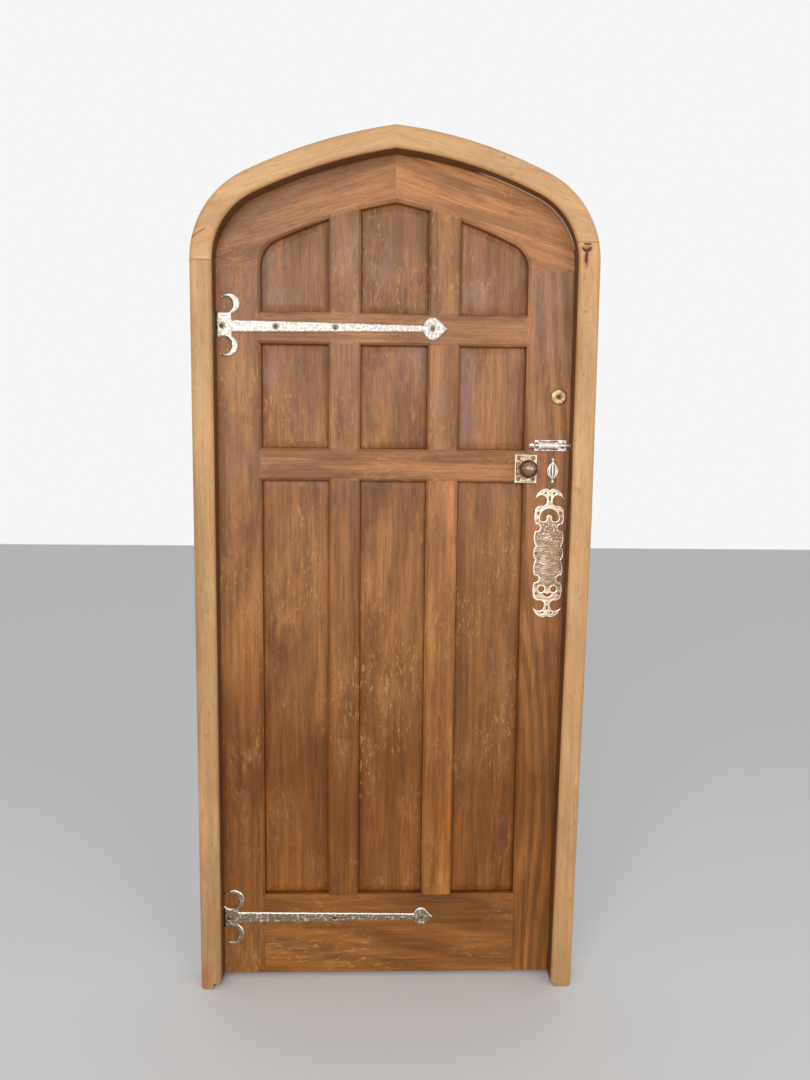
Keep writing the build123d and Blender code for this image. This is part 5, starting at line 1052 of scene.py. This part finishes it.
def finger_plate_distance(x, z):
    """The outline, less the arch, the small heart, two round holes, four eyes and two slots."""
    half_x, half_z = PLATE_HALF
    holes = [polygon(x, z, arch_ring), polygon(x, z, heart_ring)]
    for side in (-1, 1):
        out, up, radius = ROUND_HOLE
        holes.append(disc(x, z, PLATE_X + side * out * half_x, PLATE_Z + up * half_z, radius * half_x))
        up, wide, tall = END_SLOT
        holes.append(slab(x, z, PLATE_X, PLATE_Z + side * up * half_z, wide * half_x, tall * half_z))
        for end in (-1, 1):
            out, up, wide, tall = EYE
            holes.append(oval(x, z, PLATE_X + side * out * half_x, PLATE_Z + end * up * half_z,
                              wide * half_x, tall * half_z))
    return np.maximum(polygon(x, z, plate_ring), -np.minimum.reduce(holes))


print("finger plate's corners", len(plate_ring), "arch's", len(arch_ring), "heart's", len(heart_ring))


# %% [markdown]
# The plate's face is one height field made of steps: the border rises over a rounded rim, and
# inside it the body lies lower. Strokes are the crests of a sine whose phase is bent by other
# sines, so that they curve and break like the marks of a small chisel.

# %% Finger plate
BODY_TOP, BORDER_RISE, BODY_SINK = 1.0 * MM, 0.95 * MM, 0.35 * MM
ROUGH_DEPTH, SCREW_DEPTH = 0.45 * MM, 0.3 * MM
STROKE_PITCH = 4.2 * MM
BODY_END, STROKES_END = 0.60, 0.18
PLATE_SCREWS = [(side * out, up) for side in (-1, 1)
                for out, up in ((0.74, 0.624), (0.83, 0.0), (0.74, -0.624))]


def chisel_strokes(x, z):
    """From 0 to 1: a sine of the height, with a phase of two sines of x and z added to it."""
    bend = 2.6 * np.sin(x / (4.3 * MM) + 2.2 * np.sin(z / (8 * MM)))
    bend = bend + 1.8 * np.sin(x / (2.3 * MM) - z / (5 * MM))
    return 0.5 + 0.5 * np.sin(math.tau * z / STROKE_PITCH + bend)


def finger_plate_face(x, z, depth):
    """A raised border, one inside a smooth step, round a sunk body: dents towards the top, and
    chisel strokes with dents below. Round each screw there is a gap."""
    half_x, half_z = PLATE_HALF
    border = rim_slope(depth, 1.3 * MM)
    inside = ramp(depth, 2.2 * MM, 1.4 * MM)
    body = inside * ramp(BODY_END - np.abs(z - PLATE_Z) / half_z, 0.0, 0.08)
    dots = bowls(x, z, 4.2 * MM, 2.3)
    rough = np.where(z > PLATE_Z + STROKES_END * half_z, dots, 0.55 * chisel_strokes(x, z) + 0.5 * dots)
    places = [(PLATE_X + out * half_x, PLATE_Z + up * half_z) for out, up in PLATE_SCREWS]
    gap = rings_round(x, z, places, 2.9 * MM, 1.0 * MM)
    height = BODY_TOP + BORDER_RISE * border - BODY_SINK * inside - ROUGH_DEPTH * body * rough
    hollow = np.maximum(0.25 * inside, body * (0.16 + 0.50 * rough))
    return height - SCREW_DEPTH * gap * border, np.maximum(hollow, 1.2 * gap)


finger_box = (PLATE_X - 37 * MM, PLATE_X + 37 * MM, PLATE_Z - 150 * MM, PLATE_Z + 150 * MM)
finger_iron = plate("finger_plate_iron", finger_plate_distance, finger_box, 0.8 * MM, LEAF_FACE,
                    finger_plate_face)
dressed(finger_iron, "door", "nickel", finishes["worn_nickel"], "finger_plate")


# %% [markdown]
# The knob's plate has the same bright border round a dented middle. It could be a box with a hole
# cut by a boolean, but the same two formulas as above, a rectangle less a circle, give it a rim
# and dents of the same kind as its neighbour's.

# %% Knob plate
KNOB_X, KNOB_Z = 298 * MM, 1214.5 * MM
KNOB_PLATE_HALF, KNOB_PLATE_CORNER, NECK_RADIUS = (24 * MM, 31 * MM), 1.0 * MM, 8.0 * MM
KNOB_SCREWS = [(side * 16.5 * MM, end * 23.5 * MM) for side in (-1, 1) for end in (-1, 1)]


def knob_plate_distance(x, z):
    """A rectangle grown by its corners' small radius, less the hole for the knob's neck."""
    outline = slab(x, z, KNOB_X, KNOB_Z, *KNOB_PLATE_HALF) - KNOB_PLATE_CORNER
    return np.maximum(outline, -disc(x, z, KNOB_X, KNOB_Z, NECK_RADIUS))


def knob_plate_face(x, z, depth):
    """A bevelled border and a slightly sunk, dented middle with a gap round each screw."""
    places = [(KNOB_X + out, KNOB_Z + up) for out, up in KNOB_SCREWS]
    gap = rings_round(x, z, places, 3.9 * MM, 1.1 * MM)
    inside = ramp(depth, 2.4 * MM, 1.6 * MM)
    dents = bowls(x, z, 6 * MM, 5.2) * inside
    height = 1.6 * MM + 1.35 * MM * rim_slope(depth, 1.8 * MM) - 0.35 * MM * inside
    height = height - 0.25 * MM * dents - 0.4 * MM * gap
    return height, np.maximum(0.12 * inside + 0.35 * dents, 1.2 * gap)


knob_box = (KNOB_X - 27 * MM, KNOB_X + 27 * MM, KNOB_Z - 34 * MM, KNOB_Z + 34 * MM)
knob_iron = plate("knob_plate_iron", knob_plate_distance, knob_box, 0.6 * MM, LEAF_FACE,
                  knob_plate_face)
dressed(knob_iron, "door", "nickel", finishes["worn_nickel"], "knob_plate")


# %% [markdown]
# The keyhole's cover is a pointed oval with ribs that fan from top to bottom. Its sides are two
# arcs, and the ribs are a cosine across the width, which narrows with the outline.

# %% Keyhole cover
KEYHOLE_X = 358.7 * MM
RIVET_Z, RIVET_RADIUS = 1227.5 * MM, 1.9 * MM
RIB_WAVES = 2.6
cover_low, cover_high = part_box("keyhole_cover")
COVER_MIDDLE = (cover_low[2] + cover_high[2]) / 2
COVER_HALF = ((cover_high[0] - cover_low[0]) / 2, (cover_high[2] - cover_low[2]) / 2)


def cover_distance(x, z):
    """Two discs whose overlap is the pointed oval, less the rivet's hole."""
    half_x, half_z = COVER_HALF
    radius = (half_x**2 + half_z**2) / (2 * half_x)
    left = disc(x, z, KEYHOLE_X + radius - half_x, COVER_MIDDLE, radius)
    right = disc(x, z, KEYHOLE_X - radius + half_x, COVER_MIDDLE, radius)
    return np.maximum(np.maximum(left, right), -disc(x, z, KEYHOLE_X, RIVET_Z, RIVET_RADIUS))


def cover_face(x, z, depth):
    """Ribs: a cosine of x over the oval's half width at that height, 2.6 waves from side to side.
    The half width falls as one less the square of the way up or down."""
    part = np.clip(1.0 - ((z - COVER_MIDDLE) / COVER_HALF[1]) ** 2, 0.05, 1.0)
    ribs = 0.5 + 0.5 * np.cos((x - KEYHOLE_X) / (COVER_HALF[0] * part) * math.pi * RIB_WAVES)
    slope = rim_slope(depth, 1.2 * MM)
    height = (1.2 * MM + 1.2 * MM * ribs * part) * (0.6 + 0.4 * slope)
    return height, 1.3 * (1.0 - ribs) * slope


cover_iron = plate("keyhole_cover_iron", cover_distance, box_round(cover_low, cover_high, 1 * MM),
                   0.4 * MM, cover_high[1], cover_face)
dressed(cover_iron, "keyhole_cover", "nickel", finishes["ribbed_nickel"], "keyhole_cover")


# %% [markdown]
# Beside the right-hand joint of the frame a nail was driven askew and bent over long ago. What is
# left are three short rusty rods, half sunk in the wood: a hook, the broken head above it, and
# the stub of the shank below. A rod is a circle carried along a curve, and it narrows to a blunt
# end at both ends.

# %% Bent nail
ROD_RINGS, ROD_SIDES = 28, 12
NAIL_LEVEL = FACE_LEVEL - 0.3 * MM
# Corners of each rod's curve as (x, z), and its radius, in millimetres.
NAIL_RODS = {
    "hook": ([(418.6, 1690.0), (417.5, 1679.5), (401.5, 1679.5), (400.6, 1690.0)], 2.5),
    "head": ([(401.8, 1695.6), (408.0, 1696.4), (414.0, 1695.0), (419.5, 1695.8)], 1.7),
    "stub": ([(408.5, 1684.0), (411.5, 1675.0), (406.5, 1668.0), (410.0, 1656.0)], 2.4),
}


def rod_along(corners, level_y, radius):
    """Rings round a cubic curve in a plane of one Y: centre + r (cos a n + sin a y), where n is the
    curve's normal. With the place along the curve from minus one to one, r is the radius times
    the cube root of one less the place's square."""
    path = bezier(corners, ROD_RINGS)
    slope = np.gradient(path, axis=0)
    slope = slope / np.linalg.norm(slope, axis=1)[:, None]
    place = np.linspace(-1.0, 1.0, ROD_RINGS)
    size = radius * np.maximum(1.0 - place**2, 0.001) ** (1 / 3)
    angle = np.linspace(0.0, math.tau, ROD_SIDES, endpoint=False)
    out, off = np.cos(angle)[None, :] * size[:, None], np.sin(angle)[None, :] * size[:, None]
    x = path[:, :1] - slope[:, 1:] * out
    z = path[:, 1:] + slope[:, :1] * out
    points = np.column_stack([x.ravel(), (level_y + off).ravel(), z.ravel()])
    ring = np.arange(ROD_RINGS * ROD_SIDES).reshape(ROD_RINGS, ROD_SIDES)
    after = np.roll(ring, -1, axis=1)
    corners = (ring[:-1], after[:-1], after[1:], ring[1:])
    sides = np.column_stack([part.ravel() for part in corners])
    return points, sides.tolist() + [ring[0, ::-1].tolist(), ring[-1].tolist()]


nail_points, nail_faces = [], []
for corners, radius in NAIL_RODS.values():
    points, faces = rod_along(np.array(corners) * MM, NAIL_LEVEL, radius * MM)
    start = sum(len(part) for part in nail_points)
    nail_faces += [[start + index for index in face] for face in faces]
    nail_points.append(points)
nail_mesh = new_mesh("bent_nail", np.concatenate(nail_points), nail_faces)
sealed(nail_mesh)
nail_mesh.shade_smooth()
dressed(linked("bent_nail", nail_mesh), "frame", "plain_steel", finishes["rust"])
print("nail", len(nail_mesh.vertices), "points")


# %% [markdown]
# The studio is a pale floor and a white surround. The surround lights the object less than it
# shows itself to the camera, which is why its strength depends on the kind of ray: the object
# keeps its modelling, and the background and the reflections in the metal stay pale.

# %% Floor and surround
FLOOR_REACH, FLOOR_LEVEL = 9.0, -0.0005
SURROUND_LIGHT, SURROUND_SEEN = 0.50, 0.92
floor_corners = np.array([(-1, -1, 0), (1, -1, 0), (1, 1, 0), (-1, 1, 0)]) * FLOOR_REACH
floor = linked("floor", new_mesh("floor", floor_corners + (0, 0, FLOOR_LEVEL), [(0, 1, 2, 3)]))
floor_finish, _, floor_shader = new_finish("floor")
fixed(floor_shader, Base_Color=(0.78, 0.79, 0.80, 1.0), Roughness=0.7)
floor.data.materials.append(floor_finish)

world = bpy.data.worlds.new("studio")
bpy.context.scene.world = world
world.use_nodes = True
sky = world.node_tree
sky.nodes.clear()
ray = node(sky, "LightPath").outputs
seen = maths(sky, "MAXIMUM", ray["Is Glossy Ray"], ray["Is Transmission Ray"])
seen = maths(sky, "MAXIMUM", ray["Is Camera Ray"], seen)
strength = spread(sky, seen, 0.0, 1.0, SURROUND_LIGHT, SURROUND_SEEN)
background = node(sky, "Background", {"Color": (1.0, 1.0, 1.0, 1.0), "Strength": strength})
sky_output = node(sky, "OutputWorld")
sky.links.new(background.outputs[0], sky_output.inputs[0])
print("surround's light", SURROUND_LIGHT, "and as seen", SURROUND_SEEN)


# %% [markdown]
# Two soft lamps light the face of the door: a warm one from the upper left, and a weaker, cooler
# one from the right, which opens the shadows. A lamp could be turned by hand until it looks
# right. It shines along its own minus Z, so a matrix built from where it aims is surer.

# %% Lamps
def placing(axes, place):
    """A 4 by 4 matrix: the object's own X, Y and Z as columns, its place, and 0, 0, 0, 1."""
    return Matrix([[*row, part] for row, part in zip(np.column_stack(axes), place)] + [[0, 0, 0, 1]])


def lamp(name, place, aim, side, power, colour):
    """A square soft lamp at a place, turned to face its aim. Its Z points away from the aim, its
    X is level, and its Y is square to both."""
    light = bpy.data.lights.new(name, "AREA")
    light.shape = "SQUARE"
    light.size = side
    light.energy = power
    light.color = colour
    away = np.array(place, float) - np.array(aim, float)
    away = away / np.linalg.norm(away)
    right = np.cross((0.0, 0.0, 1.0), away)
    right = right / np.linalg.norm(right)
    linked(name, light).matrix_world = placing([right, np.cross(away, right), away], place)
    print(name, "watts", power)


lamp("key_lamp", (-0.9, -3.7, 2.4), aim=(0.0, 0.0, 1.0), side=2.2, power=66.0,
     colour=(1.0, 0.985, 0.96))
lamp("fill_lamp", (2.2, -3.0, 1.4), aim=(0.0, 0.0, 0.9), side=2.0, power=27.0,
     colour=(0.96, 0.98, 1.0))


# %% [markdown]
# The camera stands where the photograph was taken from. Its place and its small turns were found
# from the straight edges of the frame, and the lens from how fast those edges converge.

# %% Camera
# Metres, then degrees, then millimetres.
CAMERA_PLACE = (-0.0265, -1.8472, 1.2449)
ROLL, TILT, SWING = 0.60, 6.06, -1.70
LENS, SENSOR_HEIGHT = 27.03, 36.0
LEVEL_VIEW = np.array([[1, 0, 0], [0, 0, -1], [0, 1, 0]], float)


def turn_about(axis, degrees):
    """Rotation matrix about one axis, by the usual cosine and sine pattern."""
    c, s = math.cos(math.radians(degrees)), math.sin(math.radians(degrees))
    if axis == "x":
        return np.array([[1, 0, 0], [0, c, -s], [0, s, c]])
    if axis == "y":
        return np.array([[c, 0, s], [0, 1, 0], [-s, 0, c]])
    return np.array([[c, -s, 0], [s, c, 0], [0, 0, 1]])


view_rows = turn_about("z", ROLL) @ turn_about("x", TILT) @ turn_about("y", SWING) @ LEVEL_VIEW
camera_data = bpy.data.cameras.new("camera")
camera_data.sensor_fit = "VERTICAL"
camera_data.sensor_height = SENSOR_HEIGHT
camera_data.lens = LENS
camera = linked("camera", camera_data)
camera.matrix_world = placing([view_rows[0], -view_rows[1], -view_rows[2]], CAMERA_PLACE)
bpy.context.scene.camera = camera
bpy.context.scene.view_settings.view_transform = "Standard"
print("camera at", CAMERA_PLACE, "lens", LENS)
